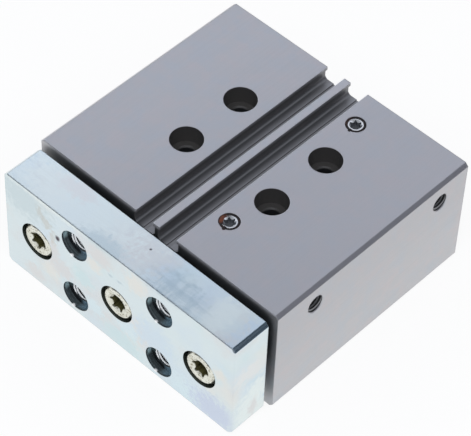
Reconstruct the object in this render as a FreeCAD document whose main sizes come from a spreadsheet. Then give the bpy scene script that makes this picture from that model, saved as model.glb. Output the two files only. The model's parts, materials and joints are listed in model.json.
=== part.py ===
import FreeCAD, Part
import math
import os

import Sketcher

# Guided pneumatic cylinder, millimetres.
# An extruded housing holds one piston bore and two ball-guided rods, which a yoke plate joins in front.
# The origin is the centre of the four mounting holes on the base face.
# X runs across the housing, Y from the yoke to the rear, Z up. The rods are drawn in (retracted).

Vector = FreeCAD.Vector
SIDES = {"left": -1, "right": 1}

# Driving dimensions
SIZES = {
    # overall
    "stroke": 30,
    "housing_width": 83,
    "housing_height": 36,
    "housing_edge": 1.0,
    "axis_height": 17,
    "guide_spacing": 58,
    # clearances
    "running_clearance": 0.05,
    "seat_clearance": 0.05,
    "thread_clearance": 0.1,
    "stop_clearance": 0.1,
    "free_clearance": 0.4,
    # mounting holes, screwed through from above or tapped from the base
    "mount_spacing_x": 30,
    "mount_spacing_y": 20,
    "mount_front": 26,
    "mount_hole": 5.2,
    "mount_hole_edge": 0.4,
    "mount_head_bore": 9,
    "mount_head_depth": 5.5,
    "mount_thread": 6,
    "mount_thread_depth": 10,
    "mount_entry": 0.4,
    # twin sensor slots along the top
    "slot_mouth": 6,
    "slot_undercut": 0.6,
    "slot_rib": 1,
    "slot_lip": 1.1,
    "slot_floor": 4.5,
    "slot_corner": 1.2,
    "slot_channel_width": 0.9,
    "slot_channel_depth": 0.35,
    # air ports on the right side and the plugged drillings above them
    "port_front_inset": 2.6,
    "port_rear_inset": 2.5,
    "port_above_guide": 3.7,
    "port_core": 4.2,
    "port_depth": 7,
    "port_thread": 5,
    "port_thread_depth": 6,
    "port_entry": 0.3,
    "air_channel": 3.2,
    "plug_side": 2,
    "plug_entry": 0.35,
    "plug_length": 5,
    "plug_edge": 0.4,
    "plug_setback": 0.1,
    "drilling_end": 2,
    # piston bore and its end caps
    "bore": 20,
    "cap_shoulder": 1,
    "cap_web": 0.5,
    "rear_cap_length": 5.6,
    "relief_depth": 1.5,
    "relief_width": 2.6,
    "cap_rim": 4,
    "cap_recess_depth": 1.2,
    "o_ring_section": 1.3,
    "o_ring_groove": 1.4,
    "o_ring_groove_width": 2,
    "seal_lip": 0.8,
    "rod_seal_height": 3.2,
    "rod_seal_wall": 3,
    "bush_length": 4.6,
    "bush_wall": 1,
    # circlips
    "circlip_setback": 1,
    "circlip_thickness": 1,
    "circlip_play": 0.1,
    "circlip_depth": 0.6,
    "circlip_width": 1.7,
    "circlip_opening": 24,
    "circlip_eye": 1.4,
    "circlip_eye_hole": 1.2,
    # guide rods and ball bushings
    "guide_rod": 10,
    "guide_rod_setback": 2,
    "guide_rod_room": 1,
    "sleeve_wall": 1.33,
    "wiper_thickness": 2.4,
    "wiper_flange": 1.4,
    "bushing_length": 16,
    "bushing_spacing": 2.5,
    "cage_end": 2.5,
    "ball": 2,
    "ball_play": 0.06,
    # piston rod and piston
    "piston_rod": 10,
    "rod_edge": 0.6,
    "guide_rod_end": 1.2,
    "piston_end_land": 1.2,
    "piston_land": 0.8,
    "seal_width": 2.2,
    "seal_depth": 2.6,
    "magnet_width": 2.5,
    "magnet_depth": 2.4,
    "magnet_setback": 0.6,
    "wear_ring_width": 2.2,
    "wear_ring_depth": 1.6,
    "piston_side": 0.3,
    "rod_pocket": 3,
    "bumper_thickness": 4,
    "bumper_room": 0.7,
    "bumper_wall": 2.3,
    "bumper_edge": 0.7,
    "piston_screw_head": 4,
    # yoke plate
    "plate_thickness": 12,
    "plate_gap": 2,
    "plate_inset": 1,
    "plate_base": 0.8,
    "plate_drop": 1.2,
    "plate_edge": 1.1,
    "plate_break": 0.25,
    "plate_rod_recess": 1.5,
    "plate_hole_x": 30,
    "plate_hole_z": 20,
    "plate_thread": 5,
    "plate_thread_entry": 0.5,
    "sleeve_recess": 9,
    "sleeve_recess_depth": 2.1,
    "sleeve_entry": 0.1,
    # screws with a six-lobe recess
    "screw_thread": 6,
    "screw_length": 16,
    "screw_head": 10,
    "screw_head_height": 6,
    "screw_head_edge": 0.6,
    "screw_head_room": 0.5,
    "screw_head_sunk": 0.3,
    "screw_room": 0.2,
    "tap_run": 2.7,
    "star_tip": 5.6,
    "star_waist": 3.95,
    "star_lobe": 0.46,
    "star_depth": 3,
    "star_lead_in": 5.8,
    "star_lead_in_slope": 30,
    "plug_star_tip": 3.3,
    "plug_star_waist": 2.33,
    "plug_star_lobe": 0.27,
    "plug_star_depth": 1.8,
    "plug_star_lead_in": 3.5,
    # where each recess came to rest when it was tightened, in degrees
    "rod_screw_turn": -2.4,
    "guide_screw_left_turn": -23,
    "guide_screw_right_turn": -9.8,
    "piston_screw_turn": 0,
    "port_plug_front_turn": 19,
    "port_plug_rear_turn": 13,
}

BALL_ROWS = 4
BALLS_IN_ROW = 4
O_RING_SIDES = 8

doc = FreeCAD.newDocument("guided_cylinder")
sheet = doc.addObject("Spreadsheet::Sheet", "size")
for row, (alias, number) in enumerate(SIZES.items(), start=1):
    sheet.set(f"A{row}", alias)
    sheet.set(f"B{row}", str(number))
    sheet.setAlias(f"B{row}", alias)
doc.recompute()

# Lengths worked out from the driving dimensions, as expressions on the sheet
PISTON_LENGTH = (
    "(2 * size.piston_end_land + 2 * size.seal_width + size.magnet_width"
    " + size.wear_ring_width + 3 * size.piston_land)"
)
CLIP_GROOVE = "(size.circlip_thickness + size.circlip_play)"
CAP_START = f"(size.circlip_setback + {CLIP_GROOVE})"
SEAL_END = "(size.seal_lip + size.rod_seal_height)"
BUSH_START = f"({SEAL_END} + size.cap_web)"
FRONT_CAP_LENGTH = f"({BUSH_START} + size.bush_length)"
FRONT_CAP_DEPTH = f"({CAP_START} + {FRONT_CAP_LENGTH})"
REAR_CAP_DEPTH = f"({CAP_START} + size.rear_cap_length)"
HOUSING_LENGTH = (
    f"({FRONT_CAP_DEPTH} + {REAR_CAP_DEPTH} + size.stroke"
    f" + {PISTON_LENGTH} + 2 * size.bumper_thickness + 2 * size.stop_clearance)"
)
FRONT = "(-size.mount_front - size.mount_spacing_y / 2)"
WIPER_END = f"({CAP_START} + size.wiper_thickness)"
REAR_BUSHING = f"({WIPER_END} + size.bushing_length + size.bushing_spacing)"
GUIDE_BORE_END = f"({REAR_BUSHING} + size.bushing_length)"
REAR_CAP_FACE = f"({HOUSING_LENGTH} - {REAR_CAP_DEPTH})"
PISTON_FRONT = f"({REAR_CAP_FACE} - size.stop_clearance - size.bumper_thickness - {PISTON_LENGTH})"
FRONT_PORT = f"({FRONT_CAP_DEPTH} + size.port_front_inset)"
REAR_PORT = f"({REAR_CAP_FACE} - size.port_rear_inset)"
ROD_START = "(-size.plate_gap - size.plate_rod_recess)"
PLATE_FRONT = "(-size.plate_gap - size.plate_thickness)"
BALL_CENTRE = "(size.guide_rod / 2 + size.ball / 2 + size.ball_play)"
BALL_TRACK = f"({BALL_CENTRE} + size.ball / 2 + size.ball_play)"
GUIDE_BORE = f"(2 * ({BALL_TRACK} + size.sleeve_wall + size.seat_clearance))"
GUIDE_CLEAR_BORE = "(size.guide_rod + 2 * size.guide_rod_room)"
CAP_BORE = "(size.bore + 2 * size.cap_shoulder)"
PORT_HEIGHT = f"(size.axis_height + {GUIDE_BORE} / 2 + size.port_above_guide)"
PLUG_OFFSET = "(size.bore / 2 + size.plug_side)"
PLATE_WIDTH = "(size.housing_width - 2 * size.plate_inset)"
PLATE_HEIGHT = "(size.housing_height - size.plate_base - size.plate_drop)"
SCREW_HEAD_BORE = "(size.screw_head + 2 * size.screw_head_room)"
SCREW_HOLE = "(size.screw_thread + 2 * size.screw_room)"
PISTON_SCREW_SEAT = f"({PISTON_LENGTH} - size.piston_screw_head - size.free_clearance)"

sub_parts = []


def value(expression):
    """Number that an expression on the sheet has now."""
    return float(sheet.evalExpression(expression))


# Documents, sketches and features


def new_body(label):
    body = doc.addObject("PartDesign::Body", label)
    body.Label = label
    sub_parts.append(body)
    return body


def place(item, x, behind_front, z):
    """Puts an item at x, at a distance behind the housing's front face, and at height z."""
    item.setExpression("Placement.Base.x", x)
    item.setExpression("Placement.Base.y", f"{FRONT} + {behind_front}")
    item.setExpression("Placement.Base.z", z)


def new_sketch(body, name, role, offset=("0", "0", "0")):
    """Sketch on one of the body's own origin planes, shifted by expressions in the plane's axes."""
    plane = next(item for item in body.Origin.OriginFeatures if item.Role == role)
    sketch = body.newObject("Sketcher::SketchObject", name)
    sketch.AttachmentSupport = [(plane, "")]
    sketch.MapMode = "FlatFace"
    for axis, shift in zip("xyz", offset):
        sketch.setExpression(f"AttachmentOffset.Base.{axis}", shift)
    return sketch


def pin_point(sketch, index, end, x, y):
    """Ties one point of the sketch to the x and y expressions."""
    for kind, place_on, axis_line in (("DistanceX", x, -2), ("DistanceY", y, -1)):
        if place_on == "0":
            sketch.addConstraint(Sketcher.Constraint("PointOnObject", index, end, axis_line))
            continue
        tie = sketch.addConstraint(Sketcher.Constraint(kind, -1, 1, index, end, value(place_on)))
        sketch.setExpression(f"Constraints[{tie}]", place_on)


def arc_between(start, end, radius):
    """Arc from start to end; a positive radius turns left, a negative one turns right."""
    chord = end - start
    half = chord.Length / 2
    rise = math.sqrt(max(radius * radius - half * half, 0))
    left = Vector(-chord.y, chord.x, 0).normalize()
    centre = (start + end) * 0.5 + left * math.copysign(rise, radius)
    first, last = (start, end) if radius > 0 else (end, start)
    angles = [math.atan2(spot.y - centre.y, spot.x - centre.x) for spot in (first, last)]
    if angles[1] < angles[0]:
        angles[1] += 2 * math.pi
    circle = Part.Circle(centre, Vector(0, 0, 1), abs(radius))
    return Part.ArcOfCircle(circle, angles[0], angles[1])


def outline(sketch, corners):
    """Closed outline through (x, y) corners; a third entry is the radius of an arc to the next corner."""
    spots = [Vector(value(corner[0]), value(corner[1]), 0) for corner in corners]
    ends = []
    for number, corner in enumerate(corners):
        start, end = spots[number], spots[(number + 1) % len(corners)]
        radius = corner[2] if len(corner) == 3 else None
        if radius is None:
            sketch.addGeometry(Part.LineSegment(start, end), False)
            ends.append((1, 2))
            continue
        sketch.addGeometry(arc_between(start, end, value(radius)), False)
        ends.append((1, 2) if value(radius) > 0 else (2, 1))
    for number, corner in enumerate(corners):
        following = (number + 1) % len(corners)
        joint = Sketcher.Constraint("Coincident", number, ends[number][1], following, ends[following][0])
        sketch.addConstraint(joint)
        pin_point(sketch, number, ends[number][0], corner[0], corner[1])
        if len(corner) == 3:
            size = abs(value(corner[2]))
            tie = sketch.addConstraint(Sketcher.Constraint("Radius", number, size))
            sketch.setExpression(f"Constraints[{tie}]", f"abs({corner[2]})")


def circles(sketch, spots, diameter):
    """Circles of one diameter at (x, y) expressions."""
    for number, (x, y) in enumerate(spots):
        centre = Vector(value(x), value(y), 0)
        sketch.addGeometry(Part.Circle(centre, Vector(0, 0, 1), value(diameter) / 2), False)
        pin_point(sketch, number, 3, x, y)
        tie = sketch.addConstraint(Sketcher.Constraint("Diameter", number, value(diameter)))
        sketch.setExpression(f"Constraints[{tie}]", diameter)


def add_feature(body, kind, name, sketch):
    feature = body.newObject(f"PartDesign::{kind}", name)
    feature.Profile = (sketch, [""])
    return feature


def settle(body, feature, before=None):
    """Recomputes, and for a cut makes sure that it took something away."""
    doc.recompute()
    if before is not None and feature.Shape.Volume > before - 1e-6:
        raise RuntimeError(f"{body.Label}: {feature.Name} cuts nothing")
    return feature


def pad(body, name, sketch, length):
    """Pads a sketch of the XZ plane towards +Y."""
    feature = add_feature(body, "Pad", name, sketch)
    feature.Reversed = True
    feature.setExpression("Length", length)
    return settle(body, feature)


def pocket(body, name, sketch, depth, both_ways=False, reverse=False):
    before = body.Shape.Volume
    feature = add_feature(body, "Pocket", name, sketch)
    feature.setExpression("Length", depth)
    feature.Reversed = reverse
    if both_ways:
        feature.SideType = "Symmetric"
    return settle(body, feature, before)


def turn(body, name, corners, kind="Revolution", offset=("0", "0", "0")):
    """Turns an outline of (radius, y) corners about the sketch's Y axis, or turns it away."""
    before = body.Shape.Volume if kind == "Groove" else None
    sketch = new_sketch(body, f"{name}_outline", "XY_Plane", offset)
    outline(sketch, corners)
    feature = add_feature(body, kind, name, sketch)
    feature.ReferenceAxis = (sketch, ["V_Axis"])
    feature.Angle = 360
    return settle(body, feature, before)


def bevel(body, name, base, size, wanted):
    """Chamfers the edges of a feature that the test picks."""
    names = [f"Edge{i}" for i, edge in enumerate(base.Shape.Edges, start=1) if wanted(edge)]
    feature = body.newObject("PartDesign::Chamfer", name)
    feature.Base = (base, names)
    feature.setExpression("Size", size)
    return settle(body, feature, base.Shape.Volume)


def is_rim(edge, diameter, axis, level):
    """True for a circular edge of a diameter that lies at a level of an axis, x, y or z."""
    if not isinstance(edge.Curve, Part.Circle) or abs(2 * edge.Curve.Radius - diameter) > 1e-4:
        return False
    box = edge.BoundBox
    low, high = {"x": (box.XMin, box.XMax), "y": (box.YMin, box.YMax), "z": (box.ZMin, box.ZMax)}[axis]
    return abs(low - level) < 1e-4 and abs(high - level) < 1e-4


# Housing


def slot_corners(side):
    """Corners of one sensor slot, from its right lip to its left lip."""
    inside = "(size.slot_mouth + 2 * size.slot_undercut)"
    middle = f"{side} * ({inside} + size.slot_rib) / 2"
    top = "size.housing_height"
    lip = f"{top} - size.slot_lip"
    floor = f"{top} - size.slot_floor"
    bend = f"{floor} + size.slot_corner"
    channel = f"{floor} - size.slot_channel_depth"
    right_half = [
        (f"{middle} + size.slot_mouth / 2", top),
        (f"{middle} + size.slot_mouth / 2", lip),
        (f"{middle} + {inside} / 2", lip),
        (f"{middle} + {inside} / 2", bend, "-size.slot_corner"),
        (f"{middle} + {inside} / 2 - size.slot_corner", floor),
        (f"{middle} + size.slot_channel_width / 2", floor),
        (f"{middle} + size.slot_channel_width / 2", channel),
    ]
    left_half = [
        (f"{middle} - size.slot_channel_width / 2", channel),
        (f"{middle} - size.slot_channel_width / 2", floor),
        (f"{middle} - {inside} / 2 + size.slot_corner", floor, "-size.slot_corner"),
        (f"{middle} - {inside} / 2", bend),
        (f"{middle} - {inside} / 2", lip),
        (f"{middle} - size.slot_mouth / 2", lip),
        (f"{middle} - size.slot_mouth / 2", top),
    ]
    return right_half + left_half


def housing_profile():
    """Cross-section of the extrusion, anticlockwise from the base."""
    half = "size.housing_width / 2"
    edge = "size.housing_edge"
    top = "size.housing_height"
    right = [
        (f"{half} - {edge}", "0"),
        (half, edge),
        (half, f"{top} - {edge}"),
        (f"{half} - {edge}", top),
    ]
    left = [
        (f"-{half} + {edge}", top),
        (f"-{half}", f"{top} - {edge}"),
        (f"-{half}", edge),
        (f"-{half} + {edge}", "0"),
    ]
    return right + slot_corners(1) + slot_corners(-1) + left


def clip_groove_corners(radius, groove_radius, start):
    """Corners of a circlip groove in a bore."""
    end = f"{start} + {CLIP_GROOVE}"
    return [(radius, start), (groove_radius, start), (groove_radius, end), (radius, end)]


def piston_bore_corners():
    cap = f"{CAP_BORE} / 2"
    clip = f"{cap} + size.circlip_depth"
    wall = "size.bore / 2"
    relief = f"{wall} + size.relief_depth"
    corners = [("0", "0"), (cap, "0")]
    corners += clip_groove_corners(cap, clip, "size.circlip_setback")
    corners += [(cap, FRONT_CAP_DEPTH), (wall, FRONT_CAP_DEPTH)]
    for port in (FRONT_PORT, REAR_PORT):
        start = f"{port} - size.relief_width / 2"
        end = f"{port} + size.relief_width / 2"
        corners += [(wall, start), (relief, start), (relief, end), (wall, end)]
    corners += [(wall, REAR_CAP_FACE), (cap, REAR_CAP_FACE)]
    corners += clip_groove_corners(cap, clip, f"{HOUSING_LENGTH} - {CAP_START}")
    corners += [(cap, HOUSING_LENGTH), ("0", HOUSING_LENGTH)]
    return corners


def guide_bore_corners():
    seat = f"{GUIDE_BORE} / 2"
    clear = f"{GUIDE_CLEAR_BORE} / 2"
    corners = [("0", "0"), (seat, "0")]
    corners += clip_groove_corners(seat, f"{seat} + size.circlip_depth", "size.circlip_setback")
    corners += [(seat, GUIDE_BORE_END), (clear, GUIDE_BORE_END)]
    corners += [(clear, HOUSING_LENGTH), ("0", HOUSING_LENGTH)]
    return corners


def guide_x(side):
    return f"{SIDES[side]} * size.guide_spacing / 2"


def build_housing():
    body = new_body("housing")
    place(body, "0", "0", "0")
    profile = new_sketch(body, "housing_profile", "XZ_Plane")
    outline(profile, housing_profile())
    pad(body, "extrusion", profile, HOUSING_LENGTH)
    turn(body, "piston_bore", piston_bore_corners(), "Groove", ("0", "0", "size.axis_height"))
    for side in SIDES:
        offset = (guide_x(side), "0", "size.axis_height")
        turn(body, f"guide_bore_{side}", guide_bore_corners(), "Groove", offset)

    mount_spots = [
        (f"{sign} * size.mount_spacing_x / 2", f"size.mount_front + {step} * size.mount_spacing_y")
        for sign in (-1, 1)
        for step in (0, 1)
    ]
    top = ("0", "0", "size.housing_height")
    holes = new_sketch(body, "mount_hole_circles", "XY_Plane", top)
    circles(holes, mount_spots, "size.mount_hole")
    pocket(body, "mount_holes", holes, "size.housing_height")
    heads = new_sketch(body, "mount_head_circles", "XY_Plane", top)
    circles(heads, mount_spots, "size.mount_head_bore")
    pocket(body, "mount_head_bores", heads, "size.mount_head_depth")
    threads = new_sketch(body, "mount_thread_circles", "XY_Plane")
    circles(threads, mount_spots, "size.mount_thread")
    pocket(body, "mount_threads", threads, "size.mount_thread_depth", reverse=True)

    right = ("0", "0", "size.housing_width / 2")
    port_spots = [(port, PORT_HEIGHT) for port in (FRONT_PORT, REAR_PORT)]
    channels = new_sketch(body, "air_channel_circles", "YZ_Plane", right)
    circles(channels, port_spots, "size.air_channel")
    pocket(body, "air_channels", channels, f"size.housing_width / 2 - {PLUG_OFFSET}")
    ports = new_sketch(body, "port_circles", "YZ_Plane", right)
    circles(ports, port_spots, "size.port_core")
    pocket(body, "ports", ports, "size.port_depth")
    port_threads = new_sketch(body, "port_thread_circles", "YZ_Plane", right)
    circles(port_threads, port_spots, "size.port_thread")
    pocket(body, "port_threads", port_threads, "size.port_thread_depth")
    drilling_spots = [(PLUG_OFFSET, port) for port, height in port_spots]
    drillings = new_sketch(body, "drilling_circles", "XY_Plane", top)
    circles(drillings, drilling_spots, "size.port_core")
    pocket(body, "drillings", drillings, "size.housing_height - size.axis_height - size.drilling_end")
    plug_threads = new_sketch(body, "plug_thread_circles", "XY_Plane", top)
    circles(plug_threads, drilling_spots, "size.port_thread")
    last = pocket(body, "plug_threads", plug_threads, "size.port_thread_depth")

    air_thread = value("size.port_thread")
    mount_thread = value("size.mount_thread")
    mount_hole = value("size.mount_hole")
    side_x = value("size.housing_width / 2")
    top_z = value("size.housing_height")
    seat_z = value("size.housing_height - size.mount_head_depth")
    for name, amount, diameter, axis, level in (
        ("port_entries", "size.port_entry", air_thread, "x", side_x),
        ("plug_entries", "size.plug_entry", air_thread, "z", top_z),
        ("mount_hole_edges", "size.mount_hole_edge", mount_hole, "z", seat_z),
        ("mount_entries", "size.mount_entry", mount_thread, "z", 0),
    ):
        last = bevel(body, name, last, amount, lambda e: is_rim(e, diameter, axis, level))


# End caps and their rings


def o_ring_groove_corners(radius, middle):
    root = f"{radius} - size.o_ring_groove"
    start = f"{middle} - size.o_ring_groove_width / 2"
    end = f"{middle} + size.o_ring_groove_width / 2"
    return [(radius, start), (root, start), (root, end), (radius, end)]


CAP_RADIUS = f"({CAP_BORE} / 2 - size.seat_clearance)"
FRONT_O_RING = f"({BUSH_START} + size.o_ring_groove_width / 2)"
REAR_O_RING = "(size.rear_cap_length / 2)"
SEAL_POCKET = "(size.piston_rod / 2 + size.rod_seal_wall)"
BUSH_POCKET = "(size.piston_rod / 2 + size.bush_wall)"
ROD_FREE = "(size.piston_rod / 2 + size.free_clearance)"


def build_front_cap():
    corners = [(ROD_FREE, "0"), (CAP_RADIUS, "0")]
    corners += o_ring_groove_corners(CAP_RADIUS, FRONT_O_RING)
    corners += [
        (CAP_RADIUS, FRONT_CAP_LENGTH),
        (BUSH_POCKET, FRONT_CAP_LENGTH),
        (BUSH_POCKET, BUSH_START),
        (ROD_FREE, BUSH_START),
        (ROD_FREE, SEAL_END),
        (SEAL_POCKET, SEAL_END),
        (SEAL_POCKET, "size.seal_lip"),
        (ROD_FREE, "size.seal_lip"),
    ]
    body = new_body("front_cap")
    place(body, "0", CAP_START, "size.axis_height")
    turn(body, "front_cap_turning", corners)

    bush = new_body("rod_bush")
    place(bush, "0", f"{CAP_START} + {BUSH_START}", "size.axis_height")
    inside = "size.piston_rod / 2 + size.running_clearance"
    outside = f"{BUSH_POCKET} - size.seat_clearance"
    wall = [(inside, "0"), (outside, "0"), (outside, "size.bush_length"), (inside, "size.bush_length")]
    turn(bush, "rod_bush_turning", wall)

    seal = new_body("rod_seal")
    place(seal, "0", f"{CAP_START} + size.seal_lip", "size.axis_height")
    outside = f"{SEAL_POCKET} - size.seat_clearance"
    valley = "size.piston_rod / 2 + size.rod_seal_wall / 2"
    height = "size.rod_seal_height"
    lips = [
        (inside, "size.seat_clearance"),
        (outside, "size.seat_clearance"),
        (outside, f"{height} - size.seat_clearance"),
        (valley, f"{height} / 2"),
        (inside, f"{height} - size.seat_clearance"),
        (inside, f"{height} * 2 / 3"),
        (ROD_FREE, f"{height} / 2"),
        (inside, f"{height} / 3"),
    ]
    turn(seal, "rod_seal_turning", lips)


def build_rear_cap():
    length = "size.rear_cap_length"
    recess = f"{CAP_RADIUS} - size.cap_rim"
    recess_floor = f"{length} - size.cap_recess_depth"
    corners = [("0", "0"), (CAP_RADIUS, "0")]
    corners += o_ring_groove_corners(CAP_RADIUS, REAR_O_RING)
    corners += [
        (CAP_RADIUS, length),
        (recess, length),
        (recess, recess_floor),
        ("0", recess_floor),
    ]
    body = new_body("rear_cap")
    place(body, "0", REAR_CAP_FACE, "size.axis_height")
    turn(body, "rear_cap_turning", corners)


def build_o_ring(label, middle):
    """O-ring in its groove, turned from an eight-sided section inside its round one."""
    centre = f"({CAP_BORE} / 2 - size.o_ring_groove / 2)"
    section = "size.o_ring_section / 2"
    step = 360 / O_RING_SIDES
    corners = []
    for number in range(O_RING_SIDES):
        angle = (number + 0.5) * step
        corners.append((f"{centre} + {section} * cos({angle})", f"{section} * sin({angle})"))
    body = new_body(label)
    place(body, "0", middle, "size.axis_height")
    turn(body, f"{label}_turning", corners)


def build_circlip(label, x, start, bore):
    """Internal circlip: an open ring with two eyes at its opening."""
    outer = f"({bore} / 2 + size.circlip_depth - size.seat_clearance)"
    inner = f"({outer} - size.circlip_width)"
    across = "sin(size.circlip_opening)"
    up = "cos(size.circlip_opening)"
    corners = [
        (f"{outer} * {across}", f"{outer} * {up}", f"-{outer}"),
        ("0", f"-{outer}", f"-{outer}"),
        (f"-{outer} * {across}", f"{outer} * {up}"),
        (f"-{inner} * {across}", f"{inner} * {up}", inner),
        ("0", f"-{inner}", inner),
        (f"{inner} * {across}", f"{inner} * {up}"),
    ]
    body = new_body(label)
    place(body, x, f"{start} + size.circlip_play / 2", "size.axis_height")
    ring = new_sketch(body, f"{label}_ring", "XZ_Plane")
    outline(ring, corners)
    pad(body, f"{label}_band", ring, "size.circlip_thickness")
    eye_spots = [(f"{sign} * {inner} * {across}", f"{inner} * {up}") for sign in (-1, 1)]
    eyes = new_sketch(body, f"{label}_eye_circles", "XZ_Plane")
    circles(eyes, eye_spots, "2 * size.circlip_eye")
    pad(body, f"{label}_eyes", eyes, "size.circlip_thickness")
    holes = new_sketch(body, f"{label}_hole_circles", "XZ_Plane")
    circles(holes, eye_spots, "size.circlip_eye_hole")
    pocket(body, f"{label}_holes", holes, "size.circlip_thickness")


# Guide bushings, wipers and rods


def build_ring(label, x, start, inside, outside, length):
    body = new_body(label)
    place(body, x, start, "size.axis_height")
    turn(body, f"{label}_turning", [(inside, "0"), (outside, "0"), (outside, length), (inside, length)])
    return body


def build_ball_bushing(side, end, start):
    """Steel sleeve, plastic cage with four ball tracks, and the balls that carry the rod."""
    name = f"{side}_{end}"
    x = guide_x(side)
    outside = f"{GUIDE_BORE} / 2 - size.seat_clearance"
    build_ring(f"ball_bushing_{name}", x, start, BALL_TRACK, outside, "size.bushing_length")

    inside = "size.guide_rod / 2 + size.free_clearance"
    cage_outside = f"{BALL_TRACK} - size.seat_clearance"
    cage = build_ring(f"ball_cage_{name}", x, start, inside, cage_outside, "size.bushing_length")
    half_track = "(size.ball / 2 + size.ball_play)"
    track_end = "(size.bushing_length - size.cage_end)"
    track = [
        (f"-{half_track}", "size.cage_end"),
        (half_track, "size.cage_end"),
        (half_track, track_end),
        (f"-{half_track}", track_end),
    ]
    level = new_sketch(cage, f"level_tracks_{name}", "XY_Plane")
    outline(level, track)
    pocket(cage, f"top_and_bottom_tracks_{name}", level, GUIDE_BORE, both_ways=True)
    upright = new_sketch(cage, f"upright_tracks_{name}", "YZ_Plane")
    outline(upright, [(along, across) for across, along in track])
    pocket(cage, f"side_tracks_{name}", upright, GUIDE_BORE, both_ways=True)

    balls = doc.addObject("Part::Feature", f"bearing_balls_{name}")
    balls.Label = f"bearing_balls_{name}"
    balls.Shape = Part.makeCompound(ball_rows())
    sub_parts.append(balls)
    place(balls, x, start, "size.axis_height")


def light_ball(diameter):
    """Ball of 26 flat faces inside its sphere: a cube with its edges cut to equal squares."""
    edge_share = 1 / (2 + math.sqrt(2))
    corner_reach = math.hypot(1, math.sqrt(2) * (1 - 2 * edge_share)) / 2
    side = diameter / 2 / corner_reach
    cube = Part.makeBox(side, side, side, Vector(-side / 2, -side / 2, -side / 2))
    return cube.makeChamfer(side * edge_share, cube.Edges)


def ball_rows():
    """Balls of the loaded rows, evenly spaced along each track."""
    ball = light_ball(value("size.ball"))
    centre = value(BALL_CENTRE)
    first = value("size.cage_end + size.ball / 2 + size.ball_play")
    last = value("size.bushing_length - size.cage_end - size.ball / 2 - size.ball_play")
    step = (last - first) / (BALLS_IN_ROW - 1)
    balls = []
    for row in range(BALL_ROWS):
        angle = row * 2 * math.pi / BALL_ROWS
        for number in range(BALLS_IN_ROW):
            spot = Vector(centre * math.cos(angle), first + number * step, centre * math.sin(angle))
            balls.append(ball.translated(spot))
    return balls


def build_wiper(side):
    """Rubber ring whose lip wipes the guide rod, with a flange under the circlip."""
    inside = "size.guide_rod / 2 + size.running_clearance"
    free = "size.guide_rod / 2 + size.free_clearance"
    outside = f"{GUIDE_BORE} / 2 - size.seat_clearance"
    flange = "size.wiper_flange"
    thickness = "size.wiper_thickness"
    corners = [
        (inside, "0"),
        (f"{inside} + {flange} / 2", "0"),
        (f"{inside} + {flange}", f"{thickness} - {flange}"),
        (outside, f"{thickness} - {flange}"),
        (outside, thickness),
        (free, thickness),
        (free, f"{thickness} / 2"),
        (inside, f"{thickness} / 4"),
    ]
    body = new_body(f"guide_wiper_{side}")
    place(body, guide_x(side), CAP_START, "size.axis_height")
    turn(body, f"guide_wiper_{side}_turning", corners)


TAPPED_RADIUS = "(size.screw_thread / 2 + size.thread_clearance)"
SCREW_GRIP = "(size.plate_thickness - size.screw_head_sunk - size.screw_head_height - size.plate_rod_recess)"
FRONT_TAPPED_DEPTH = f"(size.screw_length - {SCREW_GRIP} + size.tap_run)"


def build_guide_rod(side):
    radius = "size.guide_rod / 2"
    length = f"({HOUSING_LENGTH} - size.guide_rod_setback - {ROD_START})"
    corners = [
        (TAPPED_RADIUS, "0"),
        (f"{radius} - size.rod_edge", "0"),
        (radius, "size.rod_edge"),
        (radius, f"{length} - size.guide_rod_end"),
        (f"{radius} - size.guide_rod_end", length),
        ("0", length),
        ("0", FRONT_TAPPED_DEPTH),
        (TAPPED_RADIUS, FRONT_TAPPED_DEPTH),
    ]
    body = new_body(f"guide_rod_{side}")
    place(body, guide_x(side), ROD_START, "size.axis_height")
    turn(body, f"guide_rod_{side}_turning", corners)


# Piston rod, piston and its rings


def build_piston_rod():
    radius = "size.piston_rod / 2"
    length = f"({PISTON_FRONT} + size.rod_pocket - {ROD_START})"
    piston_web = f"({PISTON_SCREW_SEAT} - size.rod_pocket)"
    rear_hole = f"{length} - (size.screw_length - {piston_web} + size.tap_run)"
    corners = [
        (TAPPED_RADIUS, "0"),
        (f"{radius} - size.rod_edge", "0"),
        (radius, "size.rod_edge"),
        (radius, f"{length} - size.rod_edge"),
        (f"{radius} - size.rod_edge", length),
        (TAPPED_RADIUS, length),
        (TAPPED_RADIUS, rear_hole),
        ("0", rear_hole),
        ("0", FRONT_TAPPED_DEPTH),
        (TAPPED_RADIUS, FRONT_TAPPED_DEPTH),
    ]
    body = new_body("piston_rod")
    place(body, "0", ROD_START, "size.axis_height")
    turn(body, "piston_rod_turning", corners)


PISTON_GROOVES = [
    ("piston_seal_front", "size.seal_width", "size.seal_depth"),
    ("magnet_ring", "size.magnet_width", "size.magnet_depth"),
    ("piston_wear_ring", "size.wear_ring_width", "size.wear_ring_depth"),
    ("piston_seal_rear", "size.seal_width", "size.seal_depth"),
]


def groove_starts():
    """Start of each piston groove behind the piston's front face."""
    starts = []
    reach = "size.piston_end_land"
    for name, width, depth in PISTON_GROOVES:
        starts.append(reach)
        reach = f"{reach} + {width} + size.piston_land"
    return starts


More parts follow.
